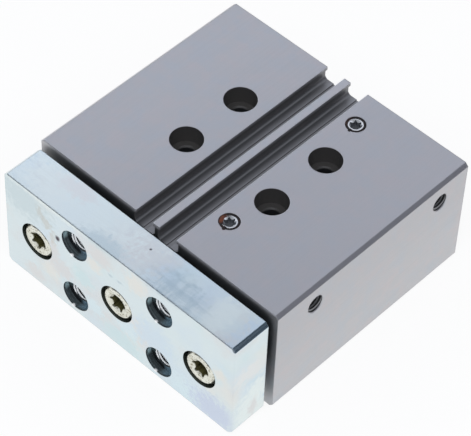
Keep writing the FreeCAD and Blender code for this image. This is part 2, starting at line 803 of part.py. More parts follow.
def build_piston():
    radius = "size.bore / 2 - size.piston_side"
    screw_hole = f"{SCREW_HOLE} / 2"
    rod_hole = "size.piston_rod / 2 + size.seat_clearance"
    head_hole = "size.screw_head / 2 + size.free_clearance"
    corners = [(rod_hole, "0"), (radius, "0")]
    for start, (name, width, depth) in zip(groove_starts(), PISTON_GROOVES):
        root = f"size.bore / 2 - {depth}"
        end = f"{start} + {width}"
        corners += [(radius, start), (root, start), (root, end), (radius, end)]
    corners += [
        (radius, PISTON_LENGTH),
        (head_hole, PISTON_LENGTH),
        (head_hole, PISTON_SCREW_SEAT),
        (screw_hole, PISTON_SCREW_SEAT),
        (screw_hole, "size.rod_pocket"),
        (rod_hole, "size.rod_pocket"),
    ]
    body = new_body("piston")
    place(body, "0", PISTON_FRONT, "size.axis_height")
    turn(body, "piston_turning", corners)


def build_piston_rings():
    """Lip seals, magnet and wear ring in the piston's grooves; the lips face the pressure."""
    play = "size.seat_clearance"
    touching = "size.bore / 2 - size.running_clearance"
    for start, (name, width, depth) in zip(groove_starts(), PISTON_GROOVES):
        inside = f"size.bore / 2 - {depth} + {play}"
        outside = touching
        if name == "magnet_ring":
            outside = "size.bore / 2 - size.magnet_setback"
        corners = [
            (inside, play),
            (outside, play),
            (outside, f"{width} - {play}"),
            (inside, f"{width} - {play}"),
        ]
        slack = f"{outside} - size.seal_depth / 4"
        if name == "piston_seal_front":
            corners[2:3] = [(outside, f"{width} / 2"), (slack, f"{width} - {play}")]
        if name == "piston_seal_rear":
            corners[1:2] = [(slack, play), (outside, f"{width} / 2")]
        body = new_body(name)
        place(body, "0", f"{PISTON_FRONT} + {start}", "size.axis_height")
        turn(body, f"{name}_turning", corners)


def build_bumper(end):
    """Elastomer ring on the piston's face that cushions the end of the stroke."""
    inside = "size.piston_rod / 2 + size.bumper_room"
    outside = f"{inside} + size.bumper_wall"
    thickness = "size.bumper_thickness"
    edge = "size.bumper_edge"
    front = [
        (inside, "0"),
        (f"{outside} - {edge}", "0"),
        (outside, edge),
        (outside, thickness),
        (inside, thickness),
    ]
    rear = [
        (inside, "0"),
        (outside, "0"),
        (outside, f"{thickness} - {edge}"),
        (f"{outside} - {edge}", thickness),
        (inside, thickness),
    ]
    shapes = {"front": front, "rear": rear}
    starts = {
        "front": f"{PISTON_FRONT} - {thickness}",
        "rear": f"{PISTON_FRONT} + {PISTON_LENGTH}",
    }
    body = new_body(f"bumper_{end}")
    place(body, "0", starts[end], "size.axis_height")
    turn(body, f"bumper_{end}_turning", shapes[end])


# Yoke plate


def build_yoke_plate():
    body = new_body("yoke_plate")
    place(body, "0", PLATE_FRONT, "size.plate_base")
    half = f"{PLATE_WIDTH} / 2"
    edge = "size.plate_edge"
    top = PLATE_HEIGHT
    blank = new_sketch(body, "plate_blank", "XZ_Plane")
    blank_corners = [
        (f"-{half} + {edge}", "0"),
        (f"{half} - {edge}", "0"),
        (half, edge),
        (half, f"{top} - {edge}"),
        (f"{half} - {edge}", top),
        (f"-{half} + {edge}", top),
        (f"-{half}", f"{top} - {edge}"),
        (f"-{half}", edge),
    ]
    outline(blank, blank_corners)
    plate = pad(body, "plate", blank, "size.plate_thickness")
    plate_x = value(half)
    plate_z = value(top)

    def is_outline(item):
        box = item.BoundBox
        flat = box.YLength < 1e-6
        sides = abs(box.XMax) > plate_x - 1e-4 or abs(box.XMin) > plate_x - 1e-4
        ends = box.ZMax > plate_z - 1e-4 or box.ZMin < 1e-4
        return flat and (sides or ends)

    bevel(body, "plate_edges", plate, "size.plate_break", is_outline)

    axis_z = "size.axis_height - size.plate_base"
    rod_spots = [("0", axis_z)] + [(guide_x(side), axis_z) for side in SIDES]
    clear = new_sketch(body, "screw_hole_circles", "XZ_Plane")
    circles(clear, rod_spots, SCREW_HOLE)
    pocket(body, "screw_holes", clear, "size.plate_thickness")
    heads = new_sketch(body, "screw_head_circles", "XZ_Plane")
    circles(heads, rod_spots, SCREW_HEAD_BORE)
    pocket(body, "screw_head_bores", heads, "size.screw_head_height + size.screw_head_sunk")
    for name, diameter, spots in (
        ("guide", "size.guide_rod", rod_spots[1:]),
        ("piston", "size.piston_rod", rod_spots[:1]),
    ):
        seats = new_sketch(body, f"{name}_rod_circles", "XZ_Plane", ("0", "0", "-size.plate_thickness"))
        circles(seats, spots, f"{diameter} + 2 * size.seat_clearance")
        pocket(body, f"{name}_rod_seats", seats, "size.plate_rod_recess", reverse=True)

    tapped_spots = [
        (f"{across} * size.plate_hole_x / 2", f"{axis_z} + {up} * size.plate_hole_z / 2")
        for across in (-1, 1)
        for up in (-1, 1)
    ]
    threads = new_sketch(body, "tapped_hole_circles", "XZ_Plane")
    circles(threads, tapped_spots, "size.plate_thread")
    pocket(body, "tapped_holes", threads, "size.plate_thickness")
    sleeves = new_sketch(body, "sleeve_recess_circles", "XZ_Plane")
    circles(sleeves, tapped_spots, "size.sleeve_recess")
    last = pocket(body, "sleeve_recesses", sleeves, "size.sleeve_recess_depth")
    recess = value("size.sleeve_recess")
    recess_floor = value("size.sleeve_recess_depth")
    thread = value("size.plate_thread")
    last = bevel(body, "sleeve_entries", last, "size.sleeve_entry", lambda e: is_rim(e, recess, "y", 0))
    thread_mouth = lambda e: is_rim(e, thread, "y", recess_floor)
    bevel(body, "thread_entries", last, "size.plate_thread_entry", thread_mouth)


# Screws


def star_corners(tip, waist, lobe, turned):
    """Six-lobe recess: round lobes joined by hollow flanks, tangent to each other."""
    lobe_centre = f"({tip} / 2 - {lobe})"
    run = f"({lobe_centre} * cos(30))"
    gap = f"({lobe_centre} ^ 2 + ({waist} / 2) ^ 2 - {run} * {waist} - {lobe} ^ 2)"
    flank = f"({gap} / (2 * ({lobe} + {run} - {waist} / 2)))"
    flank_centre = f"({waist} / 2 + {flank})"
    share = f"({lobe} / ({lobe} + {flank}))"
    along = f"({lobe_centre} + ({flank_centre} * cos(30) - {lobe_centre}) * {share})"
    aside = f"({flank_centre} * sin(30) * {share})"
    corners = []
    for number in range(6):
        angle = f"60 * {number} + {turned}"
        first_x = f"{along} * cos({angle}) + {aside} * sin({angle})"
        first_y = f"{along} * sin({angle}) - {aside} * cos({angle})"
        last_x = f"{along} * cos({angle}) - {aside} * sin({angle})"
        last_y = f"{along} * sin({angle}) + {aside} * cos({angle})"
        corners.append((first_x, first_y, lobe))
        corners.append((last_x, last_y, f"-{flank}"))
    return corners


def cut_star(body, family):
    """Cuts a family of key recess into a face at the origin, with a cone to lead the key in."""
    tip, waist, lobe, depth, lead_in = (
        f"size.{family}_{part}" for part in ("tip", "waist", "lobe", "depth", "lead_in")
    )
    star = new_sketch(body, f"{body.Label}_star", "XZ_Plane")
    outline(star, star_corners(tip, waist, lobe, f"size.{body.Label}_turn"))
    pocket(body, f"{body.Label}_recess", star, depth)
    cone = [("0", "0"), (f"{lead_in} / 2", "0"), ("0", f"{lead_in} / 2 * tan(size.star_lead_in_slope)")]
    turn(body, f"{body.Label}_lead_in", cone, "Groove")


def build_screw(label, head_height):
    """Cylinder-head screw along +Y, its head's face at the origin."""
    head = "size.screw_head / 2"
    edge = "size.screw_head_edge"
    shank = "size.screw_thread / 2"
    length = f"{head_height} + size.screw_length"
    corners = [
        ("0", "0"),
        (f"{head} - {edge}", "0"),
        (head, edge),
        (head, head_height),
        (shank, head_height),
        (shank, f"{length} - {edge}"),
        (f"{shank} - {edge}", length),
        ("0", length),
    ]
    body = new_body(label)
    turn(body, f"{label}_turning", corners)
    cut_star(body, "star")
    return body


def build_screws():
    head_face = f"{PLATE_FRONT} + size.screw_head_sunk"
    place(build_screw("rod_screw", "size.screw_head_height"), "0", head_face, "size.axis_height")
    for side in SIDES:
        screw = build_screw(f"guide_screw_{side}", "size.screw_head_height")
        place(screw, guide_x(side), head_face, "size.axis_height")
    screw = build_screw("piston_screw", "size.piston_screw_head")
    screw.Placement = FreeCAD.Placement(Vector(), FreeCAD.Rotation(Vector(0, 0, 1), 180))
    place(screw, "0", f"{PISTON_FRONT} + {PISTON_SCREW_SEAT} + size.piston_screw_head", "size.axis_height")


def build_port_plug(end, behind_front):
    """Set screw that closes the drilling from the top face to the piston bore."""
    radius = "size.port_thread / 2 - size.seat_clearance"
    edge = "size.plug_edge"
    length = "size.plug_length"
    corners = [
        ("0", "0"),
        (f"{radius} - {edge}", "0"),
        (radius, edge),
        (radius, f"{length} - {edge}"),
        (f"{radius} - {edge}", length),
        ("0", length),
    ]
    body = new_body(f"port_plug_{end}")
    turn(body, f"port_plug_{end}_turning", corners)
    cut_star(body, "plug_star")
    body.Placement = FreeCAD.Placement(Vector(), FreeCAD.Rotation(Vector(1, 0, 0), -90))
    place(body, PLUG_OFFSET, behind_front, "size.housing_height - size.plug_setback")


# The assembly

build_housing()
build_front_cap()
build_rear_cap()
build_o_ring("front_cap_o_ring", f"{CAP_START} + {FRONT_O_RING}")
build_o_ring("rear_cap_o_ring", f"{REAR_CAP_FACE} + {REAR_O_RING}")
build_circlip("front_cap_circlip", "0", "size.circlip_setback", CAP_BORE)
build_circlip("rear_cap_circlip", "0", f"{HOUSING_LENGTH} - {CAP_START}", CAP_BORE)
for guide in SIDES:
    build_circlip(f"guide_circlip_{guide}", guide_x(guide), "size.circlip_setback", GUIDE_BORE)
    build_wiper(guide)
    build_ball_bushing(guide, "front", WIPER_END)
    build_ball_bushing(guide, "rear", REAR_BUSHING)
    spacer_start = f"{WIPER_END} + size.bushing_length"
    spacer_outside = f"{GUIDE_BORE} / 2 - size.seat_clearance"
    spacer_inside = f"{GUIDE_CLEAR_BORE} / 2"
    spacer = f"bushing_spacer_{guide}"
    build_ring(spacer, guide_x(guide), spacer_start, spacer_inside, spacer_outside, "size.bushing_spacing")
    build_guide_rod(guide)
build_piston_rod()
build_piston()
build_piston_rings()
build_bumper("front")
build_bumper("rear")
build_yoke_plate()
build_screws()
build_port_plug("front", FRONT_PORT)
build_port_plug("rear", REAR_PORT)

doc.recompute()
for item in doc.Objects:
    if "Invalid" in item.State or "Error" in item.State:
        raise RuntimeError(f"{item.Label} failed: {item.State}")
for item in sub_parts:
    if item.Shape.isNull() or not item.Shape.isValid():
        raise RuntimeError(f"{item.Label} has no valid shape")

os.makedirs("parts", exist_ok=True)
for item in sub_parts:
    item.Shape.exportStep(f"parts/{item.Label}.step")
print(f"{len(sub_parts)} sub-parts, housing {value(HOUSING_LENGTH):.1f} mm long")
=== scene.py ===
# %% [markdown]
# # A guided air cylinder, finished in Blender
#
# The CAD model gives every solid of this cylinder: the extruded housing, the thick yoke plate in front of
# it, and the rods, bushings, seals and screws between them. It comes in as a fixed frame, in metres, with
# one sliding joint. Blender adds what a solid model leaves out: anodised and plated finishes, cut threads,
# dabs of sealing compound, soft light and a camera. No solid is moved, so every added piece fits where the
# CAD says.

# %% Load the frame
import json
import math
import random

import bmesh
import bpy
from mathutils import Matrix, Vector


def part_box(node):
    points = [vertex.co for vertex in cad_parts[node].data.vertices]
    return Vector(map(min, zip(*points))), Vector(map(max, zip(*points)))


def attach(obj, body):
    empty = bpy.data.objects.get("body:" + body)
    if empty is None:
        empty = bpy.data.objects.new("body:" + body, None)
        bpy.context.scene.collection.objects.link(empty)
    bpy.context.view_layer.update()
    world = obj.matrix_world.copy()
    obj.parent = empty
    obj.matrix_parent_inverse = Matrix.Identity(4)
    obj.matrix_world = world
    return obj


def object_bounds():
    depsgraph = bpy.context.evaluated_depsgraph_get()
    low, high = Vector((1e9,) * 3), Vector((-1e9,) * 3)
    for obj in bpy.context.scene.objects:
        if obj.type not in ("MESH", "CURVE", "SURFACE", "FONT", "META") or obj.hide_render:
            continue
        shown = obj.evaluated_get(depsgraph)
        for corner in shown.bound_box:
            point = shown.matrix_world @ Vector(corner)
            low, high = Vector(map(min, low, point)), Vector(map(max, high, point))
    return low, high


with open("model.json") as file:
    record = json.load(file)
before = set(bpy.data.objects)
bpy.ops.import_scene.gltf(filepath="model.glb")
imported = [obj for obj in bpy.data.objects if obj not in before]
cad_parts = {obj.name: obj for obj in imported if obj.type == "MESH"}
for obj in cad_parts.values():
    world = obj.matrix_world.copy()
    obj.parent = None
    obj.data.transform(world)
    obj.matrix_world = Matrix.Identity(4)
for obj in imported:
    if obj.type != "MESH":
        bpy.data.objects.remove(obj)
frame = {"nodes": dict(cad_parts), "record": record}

MM = 0.001
scene = bpy.context.scene
record = frame["record"]
nodes = frame["nodes"]
bpy.context.view_layer.update()
cad_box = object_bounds()
print("CAD nodes:", len(nodes), "in a box from", cad_box[0], "to", cad_box[1])

# %% [markdown]
# ## Camera
#
# The cylinder is seen from its front right corner, high above it. A camera could be placed by eye, but a
# pinhole camera fitted to the corners and holes of the block gives the same perspective everywhere, so its
# place, its direction and its long lens are written down as they came from that fit.

# %% Place the camera
CAMERA_PLACE = Vector((0.27094, -0.31040, 0.48440))
CAMERA_FORWARD = Vector((-0.43598, 0.48878, -0.75566)).normalized()
CAMERA_UP = Vector((-0.53711, 0.53241, 0.65426)).normalized()
CAMERA_LENS = 182.34
SENSOR_WIDTH = 36.0

camera_data = bpy.data.cameras.new("camera")
camera_data.lens = CAMERA_LENS
camera_data.sensor_width = SENSOR_WIDTH
camera = bpy.data.objects.new("camera", camera_data)
scene.collection.objects.link(camera)
camera_right = CAMERA_FORWARD.cross(CAMERA_UP).normalized()
turn = Matrix((camera_right, camera_right.cross(CAMERA_FORWARD), -CAMERA_FORWARD)).transposed()
camera.matrix_world = Matrix.Translation(CAMERA_PLACE) @ turn.to_4x4()
scene.camera = camera
print("camera", round(CAMERA_PLACE.length * 1000), "mm from the origin, lens", CAMERA_LENS, "mm")

# %% [markdown]
# ## Building shader nodes by name
#
# Every finish below is a small tree of shader nodes. Adding nodes one call at a time makes long scripts, so
# a few helpers do it. One adds a node and fills its inputs with numbers or with links from other nodes. The
# others do arithmetic on numbers and vectors, combine masks, stretch a range of numbers and mix two
# colours.

# %% Adding a node
def add_node(tree, kind, inputs=None, **settings):
    """Adds a node, sets its properties, and fills the named or numbered inputs with values or links."""
    node = tree.nodes.new(kind)
    for name, value in settings.items():
        setattr(node, name, value)
    for name, value in (inputs or {}).items():
        if isinstance(value, bpy.types.NodeSocket):
            tree.links.new(value, node.inputs[name])
        else:
            node.inputs[name].default_value = value
    return node


print("nodes can be added by name")

# %% Arithmetic
def calculate(tree, operation, first, second=0.0):
    """Result of a Math node."""
    return add_node(tree, "ShaderNodeMath", {0: first, 1: second}, operation=operation).outputs[0]


def calculate_vector(tree, operation, first, second=None):
    """Result of a Vector Math node: a number for a length or a dot product, otherwise a vector."""
    inputs = {0: first} if second is None else {0: first, 1: second}
    node = add_node(tree, "ShaderNodeVectorMath", inputs, operation=operation)
    return node.outputs["Value" if operation in ("LENGTH", "DOT_PRODUCT") else "Vector"]


def product(tree, first, *others):
    """Several masks or numbers multiplied together."""
    for other in others:
        first = calculate(tree, "MULTIPLY", first, other)
    return first


def largest(tree, first, *others):
    """The largest of several masks."""
    for other in others:
        first = calculate(tree, "MAXIMUM", first, other)
    return first


def stretch(tree, value, low, high, new_low, new_high):
    """A value smoothly taken from one range to another, and held at its ends."""
    inputs = {"Value": value, "From Min": low, "From Max": high, "To Min": new_low, "To Max": new_high}
    return add_node(tree, "ShaderNodeMapRange", inputs, interpolation_type="SMOOTHSTEP").outputs[0]


print("numbers, vectors and masks can be worked out")

# %% Colours
def grey(level):
    """A neutral colour."""
    return (level, level, level, 1.0)


def mix_colour(tree, factor, first, second):
    """Two colours mixed by a factor. A Mix node keeps its colour sockets behind those for other kinds."""
    inputs = {0: factor, 6: first, 7: second}
    return add_node(tree, "ShaderNodeMix", inputs, data_type="RGBA").outputs[2]


print("colours can be mixed")

# %% [markdown]
# ## Floor
#
# The block lies on a white sweep. The floor is a plain disc that is white where the camera or a reflection
# sees it, and it keeps the soft shadow of the block. More light could burn a grey floor out to white, but
# it would bleach the metal too. A solid floor would also hide the base, so this one is clear from below.

# %% Rays that see the white
def seen_directly(tree):
    """1 for camera, mirror and see-through rays, 0 for the rays that carry light to the object."""
    path = add_node(tree, "ShaderNodeLightPath").outputs
    return largest(tree, path["Is Camera Ray"], path["Is Glossy Ray"], path["Is Transmission Ray"])


print("white is shown to camera, mirror and see-through rays")

# %% Floor disc
FLOOR_RADIUS = 2.5
FLOOR_SEGMENTS = 96
FLOOR_CLEARANCE = 0.1 * MM

floor_mesh = bpy.data.meshes.new("floor")
disc = bmesh.new()
bmesh.ops.create_circle(disc, cap_ends=True, radius=FLOOR_RADIUS, segments=FLOOR_SEGMENTS)
disc.to_mesh(floor_mesh)
disc.free()
floor = bpy.data.objects.new("floor", floor_mesh)
scene.collection.objects.link(floor)
floor.location.z = cad_box[0].z - FLOOR_CLEARANCE
print("floor disc of", FLOOR_RADIUS, "m radius")

# %% Floor finish
FLOOR_WHITE = 0.92
FLOOR_GLOW_SHARE = 0.88

floor_finish = bpy.data.materials.new("floor_white")
floor_finish.use_nodes = True
tree = floor_finish.node_tree
tree.nodes.clear()
paper = add_node(tree, "ShaderNodeBsdfDiffuse", {"Color": grey(FLOOR_WHITE)})
glow = add_node(tree, "ShaderNodeEmission", {"Color": grey(1.0), "Strength": 1.0})
share = product(tree, seen_directly(tree), FLOOR_GLOW_SHARE)
sweep = add_node(tree, "ShaderNodeMixShader", {0: share, 1: paper.outputs[0], 2: glow.outputs[0]})
from_below = add_node(tree, "ShaderNodeNewGeometry").outputs["Backfacing"]
clear = add_node(tree, "ShaderNodeBsdfTransparent")
one_sided = add_node(tree, "ShaderNodeMixShader", {0: from_below, 1: sweep.outputs[0], 2: clear.outputs[0]})
add_node(tree, "ShaderNodeOutputMaterial", {"Surface": one_sided.outputs[0]})
floor_mesh.materials.append(floor_finish)
print("floor_white:", len(tree.nodes), "nodes")

# %% [markdown]
# ## Studio dome
#
# Bare metal has no colour without something to mirror. The world is a dome: white behind the object, and
# for reflections a darker band of room, then soft bluish light that is strongest half-way up and fades
# towards the top. The band draws the chamfers as dark lines, and the fading light shades the flat top from
# the far side to the near one. A picture of a studio would do as well, but the dome needs no file and is
# the same all round, so that the metal reads alike from every side.

# %% Build the dome
INTO_BAND = (0.02, 0.10)
INTO_CEILING = (0.50, 0.58)
INTO_ZENITH = (0.62, 0.90)
ROOM_BAND = (0.08, 0.09, 0.11, 1.0)
CEILING = (1.24, 1.30, 1.46, 1.0)
ZENITH = (0.33, 0.35, 0.38, 1.0)

world = bpy.data.worlds.new("studio")
scene.world = world
world.use_nodes = True
tree = world.node_tree
tree.nodes.clear()
direction = add_node(tree, "ShaderNodeTexCoord").outputs["Generated"]
height = add_node(tree, "ShaderNodeSeparateXYZ", {0: direction}).outputs["Z"]
room = mix_colour(tree, stretch(tree, height, *INTO_BAND, 0.0, 1.0), grey(1.0), ROOM_BAND)
fading = mix_colour(tree, stretch(tree, height, *INTO_ZENITH, 0.0, 1.0), CEILING, ZENITH)
dome = mix_colour(tree, stretch(tree, height, *INTO_CEILING, 0.0, 1.0), room, fading)
from_camera = add_node(tree, "ShaderNodeLightPath").outputs["Is Camera Ray"]
sky = add_node(tree, "ShaderNodeBackground", {"Color": mix_colour(tree, from_camera, dome, grey(1.0))})
add_node(tree, "ShaderNodeOutputWorld", {"Surface": sky.outputs[0]})
band_end = math.degrees(math.asin(INTO_CEILING[0]))
print("studio dome with a darker band up to", round(band_end), "degrees")

# %% [markdown]
# ## Softbox
#
# One large softbox hangs above and in front of the block, as over a product table. A smaller lamp would
# give hard shadows in the holes and slots. It lights the matt surfaces, while the metal mirrors the dome
# and the floor.

# %% Hang the softbox
SOFTBOX_PLACE = Vector((0.5, -0.7, 1.5))
SOFTBOX_SIZE = 1.2
SOFTBOX_POWER = 16.0

softbox_data = bpy.data.lights.new("softbox", "AREA")
softbox_data.size = SOFTBOX_SIZE
softbox_data.energy = SOFTBOX_POWER
softbox = bpy.data.objects.new("softbox", softbox_data)
scene.collection.objects.link(softbox)
softbox.location = SOFTBOX_PLACE
softbox.rotation_euler = (-SOFTBOX_PLACE).to_track_quat("-Z", "Y").to_euler()
softbox.visible_camera = False
softbox.visible_glossy = False
scene.view_settings.view_transform = "Standard"
print("softbox", round(SOFTBOX_PLACE.length, 2), "m away")

# %% [markdown]
# ## Shared surface effects
#
# Real metal parts have broken edges, darker recesses, fine grain, tool marks and cloudy patches. Each of
# these is one node group, built once and placed in each finish with its own values. The patterns read the
# object's own coordinates, in millimetres, so a mark stays on its piece when the yoke slides out.

# %% Group helpers
FLOAT, VECTOR = "NodeSocketFloat", "NodeSocketVector"


def new_group(name, inputs, outputs):
    """An empty node group from input defaults and output kinds; returns it, its inputs and its outputs."""
    group = bpy.data.node_groups.new(name, "ShaderNodeTree")
    for title, default in inputs.items():
        kind = FLOAT if isinstance(default, float) else VECTOR
        group.interface.new_socket(title, in_out="INPUT", socket_type=kind).default_value = default
    for title, kind in outputs.items():
        group.interface.new_socket(title, in_out="OUTPUT", socket_type=kind)
    start = group.nodes.new("NodeGroupInput").outputs
    end = group.nodes.new("NodeGroupOutput").inputs
    return group, start, end


def use_group(tree, group, **inputs):
    """Places a group in a material and returns its outputs."""
    named = {title.capitalize(): value for title, value in inputs.items()}
    return add_node(tree, "ShaderNodeGroup", named, node_tree=group).outputs


def place_in_mm(tree):
    """Object coordinates in millimetres."""
    spot = add_node(tree, "ShaderNodeTexCoord").outputs["Object"]
    return add_node(tree, "ShaderNodeVectorMath", {0: spot, "Scale": 1 / MM}, operation="SCALE").outputs[0]


print("group helpers ready")

# %% [markdown]
# ## Edges and shade
#
# No machined edge is perfectly sharp: it catches the light as a thin line. Rounding each edge of the mesh
# would cost many faces, so a Bevel node rounds the normal instead, and the group tells where it does. Slots
# and holes see less of the room than open faces, and an Ambient Occlusion node finds them. One group looks
# only at the piece itself. The other looks at its neighbours too, so that its shade goes when the yoke
# slides out.

# %% Broken edges
soft_edges, start, end = new_group("soft_edges", {"Radius": 0.0002}, {"Normal": VECTOR, "Edge": FLOAT})
rounded = add_node(soft_edges, "ShaderNodeBevel", {"Radius": start["Radius"]}, samples=6).outputs[0]
flat = add_node(soft_edges, "ShaderNodeNewGeometry").outputs["Normal"]
agreement = calculate_vector(soft_edges, "DOT_PRODUCT", rounded, flat)
soft_edges.links.new(rounded, end["Normal"])
soft_edges.links.new(stretch(soft_edges, agreement, 0.99, 0.85, 0.0, 1.0), end["Edge"])
print("soft_edges rounds the normal within a radius and marks where it does")

# %% Shade in recesses and gaps
def shade_group(name, own_piece):
    """A group that is 1 on open faces and falls where the piece itself, or any piece, is near in front."""
    group, start, end = new_group(name, {"Reach": 0.006}, {"Open": FLOAT})
    near = add_node(group, "ShaderNodeAmbientOcclusion", {"Distance": start["Reach"]},
                    samples=12, only_local=own_piece)
    group.links.new(near.outputs["AO"], end["Open"])
    return group


recess_shade = shade_group("recess_shade", True)
gap_shade = shade_group("gap_shade", False)
print("recess_shade falls in a piece's own slots and holes, gap_shade between pieces too")

# %% [markdown]
# ## Grain, lines and rings
#
# Blasting, milling, grinding and turning each leave their own texture. Painted pictures of them would blur
# close up, while noise stays sharp at any size. It is even in all directions for a blasted or moulded
# speckle, drawn out along an axis for tool lines, and wound round an axis for turning rings.

# %% Fine grain
fine_grain, start, end = new_group("fine_grain", {"Grain": 0.2}, {"Height": FLOAT})
per_mm = calculate(fine_grain, "DIVIDE", 1.0, start["Grain"])
speckle = add_node(fine_grain, "ShaderNodeTexNoise",
                   {"Vector": place_in_mm(fine_grain), "Scale": per_mm, "Detail": 2.0, "Roughness": 0.6})
fine_grain.links.new(speckle.outputs[0], end["Height"])
print("fine_grain is an even speckle of a given size in millimetres")

# %% Tool lines
tool_lines, start, end = new_group("tool_lines", {"Lines": (0.05, 4.0, 4.0)}, {"Line": FLOAT})
squeezed = calculate_vector(tool_lines, "MULTIPLY", place_in_mm(tool_lines), start["Lines"])
lines = add_node(tool_lines, "ShaderNodeTexNoise",
                 {"Vector": squeezed, "Scale": 1.0, "Detail": 3.0, "Roughness": 0.65})
tool_lines.links.new(lines.outputs[0], end["Line"])
print("tool_lines is noise drawn out along an axis, in lines per millimetre")

# %% Turning rings
ROD_AXIS = (0.0, 0.0, 17.0)
turned_rings, start, end = new_group(
    "turned_rings", {"Centre": ROD_AXIS, "Pitch": 0.3, "Spacing": 1000.0}, {"Ring": FLOAT})
offset = calculate_vector(turned_rings, "SUBTRACT", place_in_mm(turned_rings), start["Centre"])
offset = add_node(turned_rings, "ShaderNodeSeparateXYZ", {0: offset}).outputs
half = product(turned_rings, start["Spacing"], 0.5)
other_half = product(turned_rings, half, -1.0)
wrap = {0: offset["X"], 1: half, 2: other_half}
nearest = add_node(turned_rings, "ShaderNodeMath", wrap, operation="WRAP")
across = add_node(turned_rings, "ShaderNodeCombineXYZ", {"X": nearest.outputs[0], "Z": offset["Z"]})
radius = calculate_vector(turned_rings, "LENGTH", across.outputs[0])
ring_number = calculate(turned_rings, "DIVIDE", radius, start["Pitch"])
ring_noise = add_node(turned_rings, "ShaderNodeTexNoise",
                      {"W": ring_number, "Scale": 1.0, "Detail": 2.0}, noise_dimensions="1D")
turned_rings.links.new(ring_noise.outputs[0], end["Ring"])
print("turned_rings runs round an axis along Y, or round several at an even spacing along X")

# %% [markdown]
# ## Patches, bores and spots
#
# Anodising and plating vary over millimetres and centimetres, bores differ from the faces round them, and
# use leaves specks and spots. They could be painted on an unwrapped mesh. Masks worked out from the place
# on the piece need no unwrapping, and they can take the centres of the holes from the frame.

# %% Cloudy patches
cloud_patches, start, end = new_group("cloud_patches", {"Size": 6.0, "Seed": 0.0}, {"Cloud": FLOAT})
per_mm = calculate(cloud_patches, "DIVIDE", 1.0, start["Size"])
clouds = add_node(cloud_patches, "ShaderNodeTexNoise",
                  {"Vector": place_in_mm(cloud_patches), "W": start["Seed"], "Scale": per_mm,
                   "Detail": 3.0, "Roughness": 0.5}, noise_dimensions="4D")
cloud_patches.links.new(clouds.outputs[0], end["Cloud"])
print("cloud_patches is a soft mottle of a given size in millimetres")

# %% Bores
ALONG_X, ALONG_Y, ALONG_Z = (0.0, 1.0, 1.0), (1.0, 0.0, 1.0), (1.0, 1.0, 0.0)
LIT_SIDE = (-0.87, 0.0, 0.50)
round_bore, start, end = new_group(
    "round_bore", {"Centre": ROD_AXIS, "Across": ALONG_Y, "Radius": 5.0, "Direction": LIT_SIDE},
    {"Mask": FLOAT, "Toward": FLOAT})
away = calculate_vector(round_bore, "SUBTRACT", place_in_mm(round_bore), start["Centre"])
away = calculate_vector(round_bore, "MULTIPLY", away, start["Across"])
inside = calculate(round_bore, "SUBTRACT", start["Radius"], calculate_vector(round_bore, "LENGTH", away))
round_bore.links.new(stretch(round_bore, inside, -0.06, -0.02, 0.0, 1.0), end["Mask"])
away = calculate_vector(round_bore, "NORMALIZE", away)
toward = calculate_vector(round_bore, "DOT_PRODUCT", away, start["Direction"])
round_bore.links.new(toward, end["Toward"])
print("round_bore marks all that lies within a radius of an axis, and on which side of it")

# %% Stray specks
stray_specks, start, end = new_group(
    "stray_specks", {"Spacing": 5.0, "Size": 0.2, "Share": 0.3}, {"Mask": FLOAT})
per_mm = calculate(stray_specks, "DIVIDE", 1.0, start["Spacing"])
cells = add_node(stray_specks, "ShaderNodeTexVoronoi",
                 {"Vector": place_in_mm(stray_specks), "Scale": per_mm})
reach = product(stray_specks, cells.outputs["Distance"], start["Spacing"])
draw = add_node(stray_specks, "ShaderNodeSeparateXYZ", {0: cells.outputs["Color"]}).outputs["X"]
chosen = calculate(stray_specks, "LESS_THAN", draw, start["Share"])
speck_size = calculate(stray_specks, "DIVIDE", reach, start["Size"])
dot = stretch(stray_specks, speck_size, 0.5, 1.0, 1.0, 0.0)
stray_specks.links.new(product(stray_specks, dot, chosen), end["Mask"])
print("stray_specks are a few small round marks, far apart")

# %% Soft spots
WOBBLE = 4.0
soft_spot, start, end = new_group(
    "soft_spot", {"Centre": (0.0, 0.0, 0.0), "Size": (1.0, 1.0, 1.0), "Ragged": 0.3}, {"Mask": FLOAT})
here = place_in_mm(soft_spot)
away = calculate_vector(soft_spot, "SUBTRACT", here, start["Centre"])
distance = calculate_vector(soft_spot, "LENGTH", calculate_vector(soft_spot, "DIVIDE", away, start["Size"]))
noise = add_node(soft_spot, "ShaderNodeTexNoise", {"Vector": here, "Scale": 0.7, "Detail": 4.0}).outputs[0]
wobble = product(soft_spot, calculate(soft_spot, "SUBTRACT", noise, 0.5), start["Ragged"], WOBBLE)
distance = calculate(soft_spot, "ADD", distance, wobble)
soft_spot.links.new(stretch(soft_spot, distance, 0.3, 1.0, 1.0, 0.0), end["Mask"])
print("soft_spot marks one place on a piece, with a soft and ragged outline")

# %% [markdown]
# ## Grey anodised housing
#
# The housing is an extruded aluminium block, blasted, then anodised to a satin grey with a touch of blue. A
# plain grey paint would look dead: the oxide skin is clear over metal, so the finish is mostly metallic and
# fairly rough. Faint lines run along the pressing direction, the speckle of blasting breaks the mirror, a
# faint mottle turns from rose to blue, and a few specks lie about. The top and the right side each get a
# painted shade that grows a little from one end to the other.

# %% Finish helpers
finishes = {}


def new_finish(slot, metallic, roughness):
    """A material for one slot of the record, with its shader set up; returns its tree and shader."""
    material = bpy.data.materials.new(slot)
    material.use_nodes = True
    finishes[slot] = material
    shader = material.node_tree.nodes["Principled BSDF"]
    shader.inputs["Metallic"].default_value = metallic
    shader.inputs["Roughness"].default_value = roughness
    return material.node_tree, shader


def add_bump(tree, shader, height, normal, depth_mm):
    """Links a height through a Bump node, over a rounded normal, to the shader."""
    inputs = {"Height": height, "Normal": normal, "Distance": depth_mm * MM, "Strength": 1.0}
    tree.links.new(add_node(tree, "ShaderNodeBump", inputs).outputs[0], shader.inputs["Normal"])


print("finish helpers ready")

